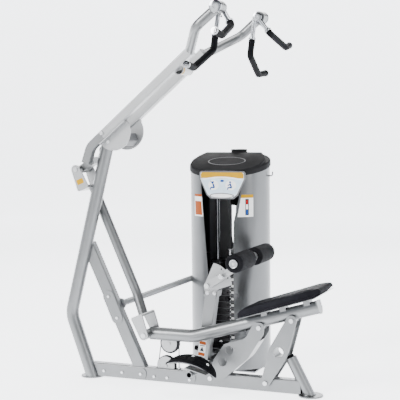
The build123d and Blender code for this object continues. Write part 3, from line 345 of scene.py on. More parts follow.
def make_materials():
    made = {
        "frame_paint": powder_coat("frame_paint", (0.185, 0.190, 0.194), 0.88, (0.34, 0.44)),
        "white_paint": powder_coat("white_paint", (0.34, 0.345, 0.35), 0.60, (0.33, 0.43)),
        "dark_paint": powder_coat("dark_paint", (0.15, 0.155, 0.165), 0.3),
        "shroud_paint": shroud_paint(),
        "liner": liner(),
        "cap_plastic": moulded("cap_plastic", (0.017, 0.017, 0.018), (0.44, 0.56), 480.0, 0.12),
        "steel": bare_steel("steel", (0.62, 0.63, 0.64), (0.22, 0.38)),
        "chrome": chrome(),
        "weight_paint": cast_plate(),
        "rubber": moulded("rubber", (0.004, 0.004, 0.005)),
        "foam": foam(),
        "vinyl": vinyl(),
        "board": printed("board", (0.70, 0.78, 0.84)),
        "cable": cable_jacket(),
        "sheave_plastic": moulded("sheave_plastic", (0.022, 0.022, 0.024), (0.3, 0.45), 500.0, 0.15),
        "knob": moulded("knob", (0.78, 0.50, 0.03), (0.25, 0.38), 420.0, 0.1),
        "strut_paint": powder_coat("strut_paint", (0.30, 0.31, 0.32), 0.5, (0.27, 0.38)),
    }
    inks = {"orange": (0.30, 0.055, 0.0), "amber": (0.46, 0.25, 0.0), "white": (0.82, 0.83, 0.83),
            "ink": (0.02, 0.02, 0.025), "blue": (0.01, 0.05, 0.22), "sky": (0.55, 0.68, 0.78),
            "red": (0.34, 0.01, 0.01)}
    for name, colour in inks.items():
        made[name] = printed(name, colour)
    return made


MATERIAL = make_materials()


def paint_the_frame():
    slots = {row["node"]: row["material_slot"] for row in frame["record"]["subparts"]}
    """Each CAD node gets the material of its slot; a few have a finish of their own."""
    own_paint = {"tower_strut": "strut_paint", "selector_pin": "sheave_plastic", "lock_pin": "steel",
                 "arm_tubes": "frame_paint", "arm_lever": "frame_paint"}
    for node, obj in frame["nodes"].items():
        material = MATERIAL[own_paint.get(node, slots[node])]
        if not obj.material_slots:
            obj.data.materials.append(material)
        for material_slot in obj.material_slots:
            material_slot.material = material


# ---- mesh helpers ----

def piece(name, bm, material, body, smooth=True):
    """A finished mesh object that rides on a body."""
    bmesh.ops.recalc_face_normals(bm, faces=bm.faces)
    mesh = bpy.data.meshes.new(name)
    bm.to_mesh(mesh)
    bm.free()
    mesh.materials.append(MATERIAL[material])
    obj = bpy.data.objects.new(name, mesh)
    bpy.context.scene.collection.objects.link(obj)
    if smooth:
        mesh.polygons.foreach_set("use_smooth", [True] * len(mesh.polygons))
        mesh.set_sharp_from_angle(angle=math.radians(38))
    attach(obj, body)
    return obj


def frame_along(direction):
    """Two unit vectors across a direction."""
    direction = direction.normalized()
    helper = Vector((0, 0, 1)) if abs(direction.z) < 0.9 else Vector((1, 0, 0))
    across = direction.cross(helper).normalized()
    return across, direction.cross(across).normalized()


def skin_rings(bm, rings, closed_path=False, caps=True):
    """Faces between rings of vertices that have the same count."""
    count = len(rings[0])
    pairs = list(zip(rings, rings[1:]))
    if closed_path:
        pairs.append((rings[-1], rings[0]))
    for a, b in pairs:
        for k in range(count):
            n = (k + 1) % count
            bm.faces.new((a[k], a[n], b[n], b[k]))
    if caps and not closed_path:
        bm.faces.new(rings[0][::-1])
        bm.faces.new(rings[-1])


def lathe(bm, centre, axis, profile, turns=64, closed=False, wobble=0.0):
    """Revolve (distance along the axis, radius) pairs, in millimetres, about an axis through centre."""
    side, up = frame_along(axis)
    axis = axis.normalized()
    rings = []
    for distance, radius in profile:
        row = []
        for k in range(turns):
            angle = math.tau * k / turns
            spoke = side * math.cos(angle) + up * math.sin(angle)
            point = centre + (axis * distance + spoke * radius) / 1000
            if wobble:
                point += spoke * noise.noise(point * 22) * wobble / 1000
            row.append(bm.verts.new(point))
        rings.append(row)
    skin_rings(bm, rings, closed_path=closed)


def sweep(bm, path, radius_at, turns=20, closed=False):
    """A round section along points in metres; radius_at(share of the length) is in millimetres."""
    lengths = [0.0]
    for a, b in zip(path, path[1:]):
        lengths.append(lengths[-1] + (b - a).length)
    rings = []
    up = None
    for k, point in enumerate(path):
        before = path[k - 1] if k or closed else path[0]
        after = path[(k + 1) % len(path)] if closed or k + 1 < len(path) else path[-1]
        tangent = (after - before).normalized()
        if up is None:
            up = frame_along(tangent)[0]
        up = (up - tangent * up.dot(tangent)).normalized()
        side = tangent.cross(up)
        radius = radius_at(lengths[k] / lengths[-1]) / 1000
        rings.append([bm.verts.new(point + (up * math.cos(a) + side * math.sin(a)) * radius)
                      for a in (math.tau * t / turns for t in range(turns))])
    skin_rings(bm, rings, closed_path=closed)


def rounded_path(points, radii, step=4.0):
    """Rail-coordinate points joined by straight runs and tangent arcs, as points in metres."""
    corners = [Vector(point) for point in points]
    path = [corners[0]]
    for before, corner, after, radius in zip(corners, corners[1:], corners[2:], radii):
        back, on = (before - corner).normalized(), (after - corner).normalized()
        half = back.angle(on) / 2
        centre = corner + (back + on).normalized() * radius / math.sin(half)
        start = corner + back * radius / math.tan(half) - centre
        end = corner + on * radius / math.tan(half) - centre
        count = max(3, int(radius * (math.pi - 2 * half) / step))
        path += [centre + start.normalized().slerp(end.normalized(), k / count) * radius
                 for k in range(count + 1)]
    path.append(corners[-1])
    fine = []
    for a, b in zip(path, path[1:]):
        count = max(1, round((b - a).length / step))
        fine += [a.lerp(b, k / count) for k in range(count)]
    fine.append(path[-1])
    return [at(*point) for point in fine]


def slab(bm, outline, place, depth, out):
    """Extrude a flat outline of (u, v) pairs; place(u, v) gives the back point, out the facing direction."""
    back = [bm.verts.new(place(u, v)) for u, v in outline]
    front = [bm.verts.new(place(u, v) + out * depth / 1000) for u, v in outline]
    bm.faces.new(back[::-1])
    bm.faces.new(front)
    for k in range(len(outline)):
        n = (k + 1) % len(outline)
        bm.faces.new((back[k], back[n], front[n], front[k]))


def facing_front(y):
    """Places (x, z) pairs on the upright plane at that Y."""
    return lambda x, z: at(x, y, z)


FRONT = Vector((0, -1, 0))


def around(x, z, a, b, angle):
    """The point at an angle on an ellipse with half axes a and b."""
    return x + a * math.cos(angle), z + b * math.sin(angle)


def rounded_box(x0, x1, z0, z1, radius, steps=5):
    corners = ((x1 - radius, z1 - radius, 0), (x0 + radius, z1 - radius, 1), (x0 + radius, z0 + radius, 2),
               (x1 - radius, z0 + radius, 3))
    return [around(x, z, radius, radius, math.pi / 2 * (q + k / steps))
            for x, z, q in corners for k in range(steps + 1)]


def ellipse(x, z, a, b, steps=40):
    return [around(x, z, a, b, math.tau * k / steps) for k in range(steps)]


def stroke(x0, z0, x1, z1, radius, steps=6):
    """A thick line with round ends."""
    angle = math.atan2(z1 - z0, x1 - x0)
    ends = ((x1, z1, angle - math.pi / 2), (x0, z0, angle + math.pi / 2))
    return [around(x, z, radius, radius, start + math.pi * k / steps)
            for x, z, start in ends for k in range(steps + 1)]


def bolt_head(bm, centre, axis, radius=9, height=6):
    """Hexagon head with a chamfered top on a flat washer."""
    lathe(bm, centre, axis, [(0, radius * 1.35), (1.6, radius * 1.35), (1.6, radius * 0.5)], turns=28)
    side, up = frame_along(axis)
    corners = [side * math.cos(math.tau * k / 6) + up * math.sin(math.tau * k / 6) for k in range(6)]
    rings = []
    for distance, size in ((1.4, 1.0), (height - 1.2, 1.0), (height, 0.86)):
        rings.append([bm.verts.new(centre + (axis * distance + corner * radius * size) / 1000)
                      for corner in corners])
    skin_rings(bm, rings)


def button_head(bm, centre, axis, radius=8, height=5):
    """Domed screw head with a socket."""
    dome = [(height * math.sin(a), radius * math.cos(a)) for a in (math.radians(d) for d in (0, 20, 40, 58))]
    socket = [(height * 0.45, radius * 0.42), (height * 0.4, 0.3)]
    lathe(bm, centre, axis, [(0, radius)] + dome + socket, turns=28)


# ---- seat pad ----

SEAT_AXIS_TILT = math.radians(17.6)
SEAT_CORNER = (272, 0, 434)
PAD_VOXEL = 0.006
PAD_SHRINK = 0.003
PAD_SWELL_CAP = 0.0045
PAD_PINNED_BELOW = 9
WELT_HEIGHT = 13
WELT_STEP = 0.004
WELT_R = 2.0
PINCH = 0.0022
PINCH_REACH = 0.0045
SIM_FRAMES = 20


def seat_point(along, across, height):
    """A point on the seat: distances from its front edge, its middle and its pan."""
    x = SEAT_CORNER[0] + along * math.cos(SEAT_AXIS_TILT) - height * math.sin(SEAT_AXIS_TILT)
    z = SEAT_CORNER[2] + along * math.sin(SEAT_AXIS_TILT) + height * math.cos(SEAT_AXIS_TILT)
    return at(x, across, z)


SEAT_UP = Vector((-math.sin(SEAT_AXIS_TILT), 0, math.cos(SEAT_AXIS_TILT)))


def evaluated_mesh(obj):
    depsgraph = bpy.context.evaluated_depsgraph_get()
    return bpy.data.meshes.new_from_object(obj.evaluated_get(depsgraph), depsgraph=depsgraph)


def remeshed_copy(node, name, voxel, shrink):
    """A voxel copy of a CAD node, drawn in along its normals."""
    obj = bpy.data.objects.new(name, frame["nodes"][node].data.copy())
    bpy.context.scene.collection.objects.link(obj)
    modifier = obj.modifiers.new("remesh", "REMESH")
    modifier.mode = "VOXEL"
    modifier.voxel_size = voxel
    obj.data = evaluated_mesh(obj)
    obj.modifiers.clear()
    for vertex, normal in zip(obj.data.vertices, [v.normal.copy() for v in obj.data.vertices]):
        vertex.co -= normal * shrink
    return obj


def inflate(obj, pinned, cap):
    """Cloth pressure swells the cover; pinned vertices stay and no point moves further than cap."""
    start = [v.co.copy() for v in obj.data.vertices]
    group = obj.vertex_groups.new(name="pinned")
    group.add(pinned, 1.0, "REPLACE")
    modifier = obj.modifiers.new("cloth", "CLOTH")
    settings = modifier.settings
    settings.quality = 5
    settings.mass = 0.3
    settings.tension_stiffness = 14
    settings.compression_stiffness = 14
    settings.bending_stiffness = 0.6
    settings.use_pressure = True
    settings.uniform_pressure_force = 4
    settings.effector_weights.gravity = 0
    settings.vertex_group_mass = "pinned"
    modifier.point_cache.frame_start = 1
    modifier.point_cache.frame_end = SIM_FRAMES
    for number in range(1, SIM_FRAMES + 1):
        bpy.context.scene.frame_set(number)
        bpy.context.view_layer.update()
    swollen = evaluated_mesh(obj)
    for vertex, old in zip(swollen.vertices, start):
        move = vertex.co - old
        if move.length > cap:
            vertex.co = old + move * cap / move.length
    obj.modifiers.clear()
    obj.vertex_groups.clear()
    obj.data = swollen
    bpy.context.scene.frame_set(1)


def slice_loop(obj, point, normal):
    """The closed outline of a mesh where a plane cuts it, as ordered points."""
    bm = bmesh.new()
    bm.from_mesh(obj.data)
    everything = bm.verts[:] + bm.edges[:] + bm.faces[:]
    cut = bmesh.ops.bisect_plane(bm, geom=everything, plane_co=point, plane_no=normal,
                                 clear_inner=True, clear_outer=True)["geom_cut"]
    edges = [e for e in cut if isinstance(e, bmesh.types.BMEdge)]
    neighbours = {}
    for edge in edges:
        a, b = edge.verts
        neighbours.setdefault(a, []).append(b)
        neighbours.setdefault(b, []).append(a)
    first = min(neighbours, key=lambda v: tuple(v.co))
    loop = [first]
    before, now = None, first
    while True:
        options = [v for v in neighbours[now] if v is not before]
        before, now = now, options[0]
        if now is first or len(loop) > len(neighbours):
            break
        loop.append(now)
    points = [v.co.copy() for v in loop]
    bm.free()
    return points


def even_loop(points, step):
    """A closed loop with evenly spaced, slightly smoothed points."""
    lengths = [0.0]
    for a, b in zip(points, points[1:] + points[:1]):
        lengths.append(lengths[-1] + (b - a).length)
    count = int(lengths[-1] / step)
    spaced, k = [], 0
    for n in range(count):
        target = lengths[-1] * n / count
        while lengths[k + 1] < target:
            k += 1
        share = (target - lengths[k]) / (lengths[k + 1] - lengths[k])
        spaced.append(points[k].lerp(points[(k + 1) % len(points)], share))
    for _ in range(6):
        spaced = [(spaced[k - 1] + p * 2 + spaced[(k + 1) % count]) / 4 for k, p in enumerate(spaced)]
    return spaced


def make_seat_pad():
    """Crowned vinyl cushion, pinched along the welt that runs round its lower edge."""
    pad = remeshed_copy("seat_pad", "seat_cushion", PAD_VOXEL, PAD_SHRINK)
    pan = seat_point(0, 0, PAD_PINNED_BELOW)
    pinned = [v.index for v in pad.data.vertices if (v.co - pan).dot(SEAT_UP) < 0]
    inflate(pad, pinned, PAD_SWELL_CAP)
    welt_level = seat_point(0, 0, WELT_HEIGHT)
    welt_points = even_loop(slice_loop(pad, welt_level, SEAT_UP), WELT_STEP)
    centre = sum(welt_points, Vector()) / len(welt_points)
    for vertex in pad.data.vertices:
        height = (vertex.co - welt_level).dot(SEAT_UP)
        out = vertex.co - centre
        out -= SEAT_UP * out.dot(SEAT_UP)
        vertex.co -= out.normalized() * PINCH * math.exp(-(height / PINCH_REACH) ** 2)
    modifier = pad.modifiers.new("smooth", "SUBSURF")
    modifier.levels = 1
    modifier.render_levels = 1
    pad.data = evaluated_mesh(pad)
    pad.modifiers.clear()
    pad.data.materials.clear()
    pad.data.materials.append(MATERIAL["vinyl"])
    pad.data.polygons.foreach_set("use_smooth", [True] * len(pad.data.polygons))
    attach(pad, "carriage")
    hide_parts("seat_pad")
    bm = bmesh.new()
    sweep(bm, welt_points, lambda share: WELT_R, turns=10, closed=True)
    piece("seat_welt", bm, "vinyl", "carriage")


# ---- thigh rollers ----

ROLLER_R = 52
ROLLER_INNER = 42
ROLLER_OUTER = 279
ROLLER_ROUND = 15
ROLLER_BORE = 16.6
END_CAP = [(0.5, 12), (0.5, 22.5), (3, 24), (7, 23), (8, 21.5), (5.5, 17), (4.5, 10), (7.5, 8), (8, 4)]
INNER_COLLAR = [(-3, 17), (-3, 27), (-0.5, 27), (-0.5, 17)]


def roller_middle():
    """The point on the rollers' axis that lies on the machine's middle plane."""
    axle = joint_at("roller_near_spin")
    return Vector((axle.x, at(0, 0, 0).y, axle.z))


def foam_edge(end, inward):
    """Profile of a foam end's rounded edge, from the side of the roller to its end face."""
    angles = [math.pi / 2 * k / 8 for k in range(9)]
    return [(end + inward * ROLLER_ROUND * (1 - math.sin(a)), ROLLER_R - ROLLER_ROUND * (1 - math.cos(a)))
            for a in angles]


def make_roller(side, name):
    profile = [(ROLLER_INNER + 3, ROLLER_BORE), (ROLLER_INNER + 0.6, ROLLER_BORE + 8)]
    profile += foam_edge(ROLLER_INNER, 1)[::-1]
    profile += [(distance, ROLLER_R) for distance in range(66, 258, 24)]
    profile += foam_edge(ROLLER_OUTER, -1)
    profile += [(ROLLER_OUTER - 0.6, ROLLER_BORE + 8), (ROLLER_OUTER - 3, ROLLER_BORE)]
    bm = bmesh.new()
    lathe(bm, roller_middle(), Vector((0, side, 0)), profile, turns=72, closed=True, wobble=0.7)
    roller = piece("foam_roller_" + name, bm, "foam", "roller_" + name)
    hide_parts("roller_" + name)


def make_roller_caps():
    """Dished steel caps outside the foam and collars inside it."""
    bm = bmesh.new()
    for side in (-1, 1):
        for start, shape, turns in ((ROLLER_OUTER, END_CAP, 56), (ROLLER_INNER, INNER_COLLAR, 48)):
            profile = [(start + distance, radius) for distance, radius in shape]
            lathe(bm, roller_middle(), Vector((0, side, 0)), profile, turns=turns)
    piece("roller_end_caps", bm, "steel", "thigh_arm")


# ---- handles ----

LONG_ROUTE = [(238, 288, 2126), (207, 289, 1916), (182, 505, 1813), (189, 614, 1825)]
SHORT_ROUTE = [(262, 284, 2126), (322, 318, 2040), (349, 529, 1971), (343, 613, 1988)]
LONG_GRIP_START = 118
SHORT_GRIP_START = 88
HANDLE_BENDS = [34, 40]
GRIP_R = 19
GRIP_COLLAR = [(-1, 15), (-1, 20), (0.5, 22.5), (6, 22.5), (7.5, 21), (7.5, 17.5), (14, 16.5), (15, 13.6),
               (15, 10)]
GRIP_END = [(-1, 15), (-1, 20.4), (1, 20.8), (5.5, 20.4), (8.2, 17.5), (8.6, 11), (6.5, 9.5), (6.5, 7.4),
            (9.6, 7), (9.8, 3.4), (7.4, 3.0), (7.4, 0.4)]
HUB_OUTER = 44
HUB_INNER = 61
HUB_OUTER_CAP = [(-9, 20), (-9, 33), (-7.5, 35.5), (-2, 36), (1, 34), (2.2, 30), (2.4, 12), (0.5, 10.5),
                 (0.5, 8), (-3, 7.2), (-3, 0.4)]
HUB_INNER_CAP = [(-1, 20), (0, 26.5), (1.6, 27.5), (4, 27), (5, 24), (5.2, 11), (3.2, 9.5), (3.2, 7),
                 (0.5, 6.4), (0.5, 0.4)]


def grip_route(route, start, side):
    points = [Vector((x, side * y, z)) for x, y, z in route]
    points[0] += (points[1] - points[0]).normalized() * start
    return points


def grip_radius(share):
    """Nearly straight sleeve with a soft bead and rounded lip at each end."""
    edge = min(share, 1 - share)
    lip = -3.5 * max(0.0, 1 - edge / 0.012) ** 2
    bead = 1.3 * math.exp(-((edge - 0.035) / 0.014) ** 2)
    return GRIP_R - 0.4 + bead + lip


def make_grips(side, name):
    bm = bmesh.new()
    collars = bmesh.new()
    for route, start in ((LONG_ROUTE, LONG_GRIP_START), (SHORT_ROUTE, SHORT_GRIP_START)):
        points = grip_route(route, start, side)
        sweep(bm, rounded_path(points, HANDLE_BENDS, 3.0), grip_radius, turns=28)
        top, along = at(*points[0]), (points[1] - points[0]).normalized()
        lathe(collars, top, -along, GRIP_COLLAR, turns=40)
        end, out = at(*points[-1]), (points[-1] - points[-2]).normalized()
        lathe(collars, end, out, GRIP_END, turns=40)
    grips = piece("rubber_grips_" + name, bm, "rubber", "handle_" + name)
    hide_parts("grips_" + name)
    piece("grip_collars_" + name, collars, "chrome", "handle_" + name)


def make_hub_caps(side, name):
    """Polished cap disc with a hexagon socket on each side of a handle hub."""
    hub = joint_at("handle_" + name + "_swivel")
    outer = hub + Vector((0, side * HUB_OUTER, 0)) / 1000
    inner = hub + Vector((0, -side * HUB_INNER, 0)) / 1000
    bm = bmesh.new()
    lathe(bm, outer, Vector((0, side, 0)), HUB_OUTER_CAP, turns=56)
    lathe(bm, inner, Vector((0, -side, 0)), HUB_INNER_CAP, turns=56)
    piece("hub_caps_" + name, bm, "chrome", "handle_" + name)


# ---- foot rests ----

TREAD_ARC = ((-128, 176), (40, 222), (172, 124))
TREAD_CENTRE = (22, 213)
TREAD_HALF = (152, 76)
TREAD_CROWN = 14
TREAD_RIM = ((0.992, 2.2), (1.0, 4.5), (1.0, 9), (0.985, 11.6), (0.6, 12), (0.02, 12))
TRAY = ((0.02, 12.2), (0.5, 12.2), (0.86, 12.2), (0.88, 13.4), (0.84, 24), (0.8, 27), (0.5, 28), (0.02, 28))
SCREW_X = (37, 124)
RIB_PITCH = 21
RIB_HEIGHT = 3.4


def circle_through(a, b, c):
    """Centre and radius of the circle through three (x, z) points."""
    ax, az = a[0] - c[0], a[1] - c[1]
    bx, bz = b[0] - c[0], b[1] - c[1]
    d = 2 * (ax * bz - az * bx)
    a2, b2 = ax * ax + az * az, bx * bx + bz * bz
    x, z = (bz * a2 - az * b2) / d, (ax * b2 - bx * a2) / d
    return c[0] + x, c[1] + z, math.hypot(x, z)


ARC_X, ARC_Z, ARC_R = circle_through(*TREAD_ARC)


def tread_top(x):
    return ARC_Z + math.sqrt(ARC_R ** 2 - (x - ARC_X) ** 2)


def rib_height(x, y, share):
    """Diagonal ribs in two fields, fading out before the rim and round the middle."""
    wave = math.sin(math.tau * (x * 0.72 + y * 0.69) / RIB_PITCH)
    rib = min(1.0, max(0.0, wave * 2.2 + 0.5))
    rim = min(1.0, max(0.0, (0.86 - share) / 0.05))
    middle = min(1.0, max(0.0, (abs(x - 14) - 15) / 6))
    return RIB_HEIGHT * rib * rim * middle


def tread_surface(bm, side, rings, turns):
    """Closed arched oval; each ring has its share of the outline, its depth and whether it is ribbed."""
    centre_x, centre_y = TREAD_CENTRE
    rows = []
    for share, drop, ribbed in rings:
        row = []
        for k in range(turns):
            angle = math.tau * k / turns
            x = TREAD_HALF[0] * share * math.cos(angle)
            y = TREAD_HALF[1] * share * math.sin(angle)
            z = tread_top(centre_x + x) - drop - TREAD_CROWN * (y / TREAD_HALF[1]) ** 2
            if ribbed:
                z += rib_height(x, y, share)
            row.append(bm.verts.new(at(centre_x + x, side * (centre_y + y), z)))
        rows.append(row)
    skin_rings(bm, rows)


def make_foot_rests():
    """Ribbed treads on shallow trays, with two screws each."""
    treads, trays, screws = bmesh.new(), bmesh.new(), bmesh.new()
    for side in (-1, 1):
        rings = [(0.985 * (k + 0.3) / 58.3, 1.4, True) for k in range(58)]
        rings += [(share, drop, False) for share, drop in TREAD_RIM]
        tread_surface(treads, side, rings, 220)
        tread_surface(trays, side, [(share, drop, False) for share, drop in TRAY], 90)
        for x in SCREW_X:
            slope = -(x - ARC_X) / math.sqrt(ARC_R ** 2 - (x - ARC_X) ** 2)
            normal = Vector((-slope, 0, 1)).normalized()
            button_head(screws, at(x, side * TREAD_CENTRE[1], tread_top(x) - 0.5), normal, 10, 6)
    treads_piece = piece("foot_treads", treads, "rubber", "base")
    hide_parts("foot_pads")
    piece("foot_trays", trays, "liner", "base")
    piece("tread_screws", screws, "steel", "base")


# ---- tower details ----

SHROUD_A = 250
SHROUD_B = 200
PLACARD_FACE = 287


def on_shroud(x, z):
    """A point on the outer face of the shroud's front half."""
    return at(x, TOWER_Y - SHROUD_B * math.sqrt(1 - ((x - TOWER_X) / SHROUD_A) ** 2) - 0.1, z)


def shroud_label(name, material, corners, lift=0.5):
    """A thin label on the shroud: its left and right edge as (low x, high x), then its two heights."""
    (left_low, left_high), (right_low, right_high), low, high = corners
    columns, rows = 10, 8
    bm = bmesh.new()
    layers = []
    for depth in (0.0, lift):
        grid = []
        for r in range(rows + 1):
            v = r / rows
            left = left_low + (left_high - left_low) * v
            right = right_low + (right_high - right_low) * v
            row = []
            for c in range(columns + 1):
                x = left + (right - left) * c / columns
                point = on_shroud(x, low + (high - low) * v)
                row.append(bm.verts.new(point + FRONT * depth / 1000))
            grid.append(row)
        layers.append(grid)
    for grid in layers:
        for a, b in zip(grid, grid[1:]):
            for c in range(columns):
                bm.faces.new((a[c], a[c + 1], b[c + 1], b[c]))
    back, front = layers
    rim_back = back[0] + [r[-1] for r in back[1:]] + back[-1][-2::-1] + [r[0] for r in back[-2:0:-1]]
    rim_front = front[0] + [r[-1] for r in front[1:]] + front[-1][-2::-1] + [r[0] for r in front[-2:0:-1]]
    for k in range(len(rim_back)):
        n = (k + 1) % len(rim_back)
        bm.faces.new((rim_back[k], rim_back[n], rim_front[n], rim_front[k]))
    return piece(name, bm, material, "base")


def make_shroud_labels():
    """A notice on each side of the opening, following its slanting edges."""
    shroud_label("label_left_body", "white", ((-184, -186), (-114, -124), 958, 1093), 0.4)
    shroud_label("label_left_top", "orange", ((-185, -186), (-123, -124), 1078, 1093), 0.8)
    shroud_label("label_left_block", "orange", ((-178, -180), (-120, -125), 966, 1050), 0.8)
    shroud_label("label_right_body", "white", ((109, 131), (190, 190), 960, 1094), 0.4)
    shroud_label("label_right_top", "amber", ((128, 131), (190, 190), 1074, 1094), 0.8)
    shroud_label("label_right_frame", "ink", ((150, 151), (169, 169), 970, 1068), 0.8)
    shroud_label("label_right_red", "red", ((154, 155), (165, 165), 1038, 1062), 1.2)
    shroud_label("label_right_pale", "white", ((154, 155), (165, 165), 1006, 1035), 1.2)
    shroud_label("label_right_blue", "blue", ((154, 154), (165, 165), 975, 1003), 1.2)


PLACARD_MIDDLE = 25
HEADER_LOW = 1194
FIGURE_X = (-30, 80)
FIGURE_Z = 1152


def layer(name, material, outlines, lift):
    """Flat shapes on the placard's face, raised by lift."""
    bm = bmesh.new()
    for outline in outlines:
        slab(bm, outline, facing_front(PLACARD_FACE), lift, FRONT)
    return piece(name, bm, material, "base")


def arc_band(x0, x1, low, rise, thick, steps=18):
    """A shallow arch: its two ends at height low, its middle higher by rise."""
    def row(extra):
        return [(x0 + (x1 - x0) * k / steps, low + extra + rise * (1 - (2 * k / steps - 1) ** 2))
                for k in range(steps + 1)]
    return row(0) + row(thick)[::-1]


def make_placard_face():
    """Bezel, amber header over an arch, two generic exercise figures and a blank oval plate."""
    bm = bmesh.new()
    outline = [(-112, 1236), (162, 1236), (172, 1226), (171, 1190), (122, 1090), (96, 1069), (-48, 1069),
               (-76, 1090), (-121, 1186), (-122, 1226)]
    slab(bm, outline, facing_front(PLACARD_FACE + 8), 7, FRONT)
    piece("placard_bezel", bm, "liner", "base")
    layer("placard_header", "amber", [[(-104, 1229), (154, 1229), (162, 1220), (161, HEADER_LOW),
                                       (-112, HEADER_LOW), (-112, 1220)]], 0.8)
    layer("placard_body", "sky", [[(-110, HEADER_LOW - 2), (158, HEADER_LOW - 2), (154, 1184), (112, 1100),
                                   (-66, 1100), (-106, 1184)]], 0.8)
    layer("placard_arch", "white", [arc_band(-100, 150, 1182, 14, 7)], 1.2)
    layer("placard_windows", "white", [ellipse(x, FIGURE_Z, 34, 30) for x in FIGURE_X], 1.2)
    figures = [ellipse(PLACARD_MIDDLE, 1178, 13, 7, 24)]
    for x in FIGURE_X:
        figures += [ellipse(x - 4, FIGURE_Z + 18, 6, 6.5, 20),
                    stroke(x - 3, FIGURE_Z + 6, x + 4, FIGURE_Z - 12, 5),
                    stroke(x + 4, FIGURE_Z - 14, x - 16, FIGURE_Z - 14, 4),
                    stroke(x - 17, FIGURE_Z - 14, x - 20, FIGURE_Z - 24, 3.4)]
    figures += [stroke(FIGURE_X[0] - 4, FIGURE_Z + 8, FIGURE_X[0] - 17, FIGURE_Z + 22, 3),
                stroke(FIGURE_X[1] - 4, FIGURE_Z + 6, FIGURE_X[1] - 17, FIGURE_Z - 1, 3)]
    layer("placard_figures", "blue", figures, 1.8)
    layer("placard_oval_rim", "frame_paint", [ellipse(22, 1089, 78, 17)], 2.0)
    layer("placard_oval", "white", [ellipse(22, 1089, 70, 11)], 2.8)


CAP_FRONT_Z = 1235
CAP_RISE = 105 / 400


def on_cap(x, y):
    """A point on the cap's slanted top."""
    return at(x, y, CAP_FRONT_Z + (y - 300) * CAP_RISE)


BADGE_CENTRE = (-5, 445)
PANEL_FRONT = (318, 1241)
PANEL_BACK = (582, 1342)
PANEL_RISE = (PANEL_BACK[1] - PANEL_FRONT[1]) / (PANEL_BACK[0] - PANEL_FRONT[0])
PANEL_EDGE = [(173, 582), (212, 530), (232, 470), (224, 410), (190, 355), (130, 322), (-140, 322),
              (-200, 355), (-234, 410), (-242, 470), (-224, 530), (-194, 582)]


def on_panel(x, y):
    """A point on the wedge panel's top."""
    return at(x, y, PANEL_FRONT[1] + (y - PANEL_FRONT[0]) * PANEL_RISE)


def make_cap_details():
    """Wedge panel with a straight back edge and chamfered front corners, and a blank oval badge on it."""
    up = Vector((0, -PANEL_RISE, 1)).normalized()
    middle = [sum(values) / len(PANEL_EDGE) for values in zip(*PANEL_EDGE)]
    bm = bmesh.new()
    rings = [[bm.verts.new(on_cap(x, y) - up * 0.001) for x, y in PANEL_EDGE],
             [bm.verts.new(on_panel(x, y) - up * 0.004) for x, y in PANEL_EDGE]]
    for inset, drop in ((0.985, 0.001), (0.96, 0.0)):
        smaller = [[m + (value - m) * inset for m, value in zip(middle, corner)] for corner in PANEL_EDGE]
        rings.append([bm.verts.new(on_panel(x, y) - up * drop) for x, y in smaller])
    skin_rings(bm, rings)
    piece("cap_panel", bm, "cap_plastic", "base")
    for name, material, a, b, lift in (("cap_badge_rim", "liner", 122, 58, 1.0),
                                       ("cap_badge", "cap_plastic", 114, 51, 1.8)):
        bm = bmesh.new()
        slab(bm, ellipse(*BADGE_CENTRE, a, b), on_panel, lift, up)
        piece(name, bm, material, "base")


PLATE_COUNT = 12
PLATES_RESTING = 8
PLATE_FRONT = 445
RIVET = [(0, 4.2), (1.2, 3.8), (2, 1.5)]


def make_plate_labels():
    """Blank white strips and rivets down the front of the weight plates."""
    for name, body, numbers in (("resting", "base", range(PLATES_RESTING)),
                                ("lifted", "weights", range(PLATES_RESTING, PLATE_COUNT))):
        strips, rivets = bmesh.new(), bmesh.new()
        for number in numbers:
            z = STACK_BASE + (number + 0.5) * PLATE_PITCH
            slab(strips, rounded_box(17, 66, z - 7, z + 7, 3), facing_front(PLATE_FRONT), 0.6, FRONT)
            for height in (z + PLATE_PITCH / 4, z - PLATE_PITCH / 4):
                lathe(rivets, at(11, PLATE_FRONT, height), FRONT, RIVET, turns=16)
        piece("plate_labels_" + name, strips, "white", body)
        piece("plate_rivets_" + name, rivets, "steel", body)


# ---- post and arm details ----

POST_LEAN = (33.8 + 32) / (545 - 77)
POST_FACE = 68
POST_LABEL_X = -25
POST_LABEL_Z = 204
POST_TOP_Z = 545
POST_FOLDS = ((-5, 76, 62, 68, 515, 560), (-5, -1, 62, 134, 528, 552), (73, 78, 62, 134, 515, 552))


def on_post(u, v):
    """A point on the post's near face, u across it and v along it from the label's middle."""
    return at(POST_LABEL_X + u + v * POST_LEAN, POST_FACE, POST_LABEL_Z + v - u * POST_LEAN)


def make_post_label():
    bm = bmesh.new()
    slab(bm, rounded_box(-23, 23, -46, 46, 3), on_post, 0.5, FRONT)
    piece("post_label", bm, "white", "base")
    bm = bmesh.new()
    for low in (-43, 24):
        slab(bm, rounded_box(-21, 21, low, low + 19, 2), on_post, 0.9, FRONT)
    piece("post_label_bands", bm, "orange", "base")
    bm = bmesh.new()
    slab(bm, [(-13, -16), (13, -16), (0, 12)], on_post, 0.9, FRONT)
    slab(bm, stroke(-14, 16, 12, 18, 2.6), on_post, 0.9, FRONT)
    piece("post_label_sign", bm, "ink", "base")


def make_post_top():
    """Folded cap with a front lip and two bolts on top of the post."""
    lean = Vector((POST_LEAN, 0, 1)).normalized()
    bm = bmesh.new()
    for x0, x1, y0, y1, z0, z1 in POST_FOLDS:
        outline = [(x0, y0), (x1, y0), (x1, y1), (x0, y1)]
        slab(bm, outline, lambda x, y, z=z0: at(x + (z - POST_TOP_Z) * POST_LEAN, y, z), z1 - z0, lean)
    piece("post_top_lip", bm, "frame_paint", "base")
    bm = bmesh.new()
    for x in (14, 58):
        bolt_head(bm, at(x, 62, 536), FRONT, 8, 6)
    piece("post_top_bolts", bm, "steel", "base")


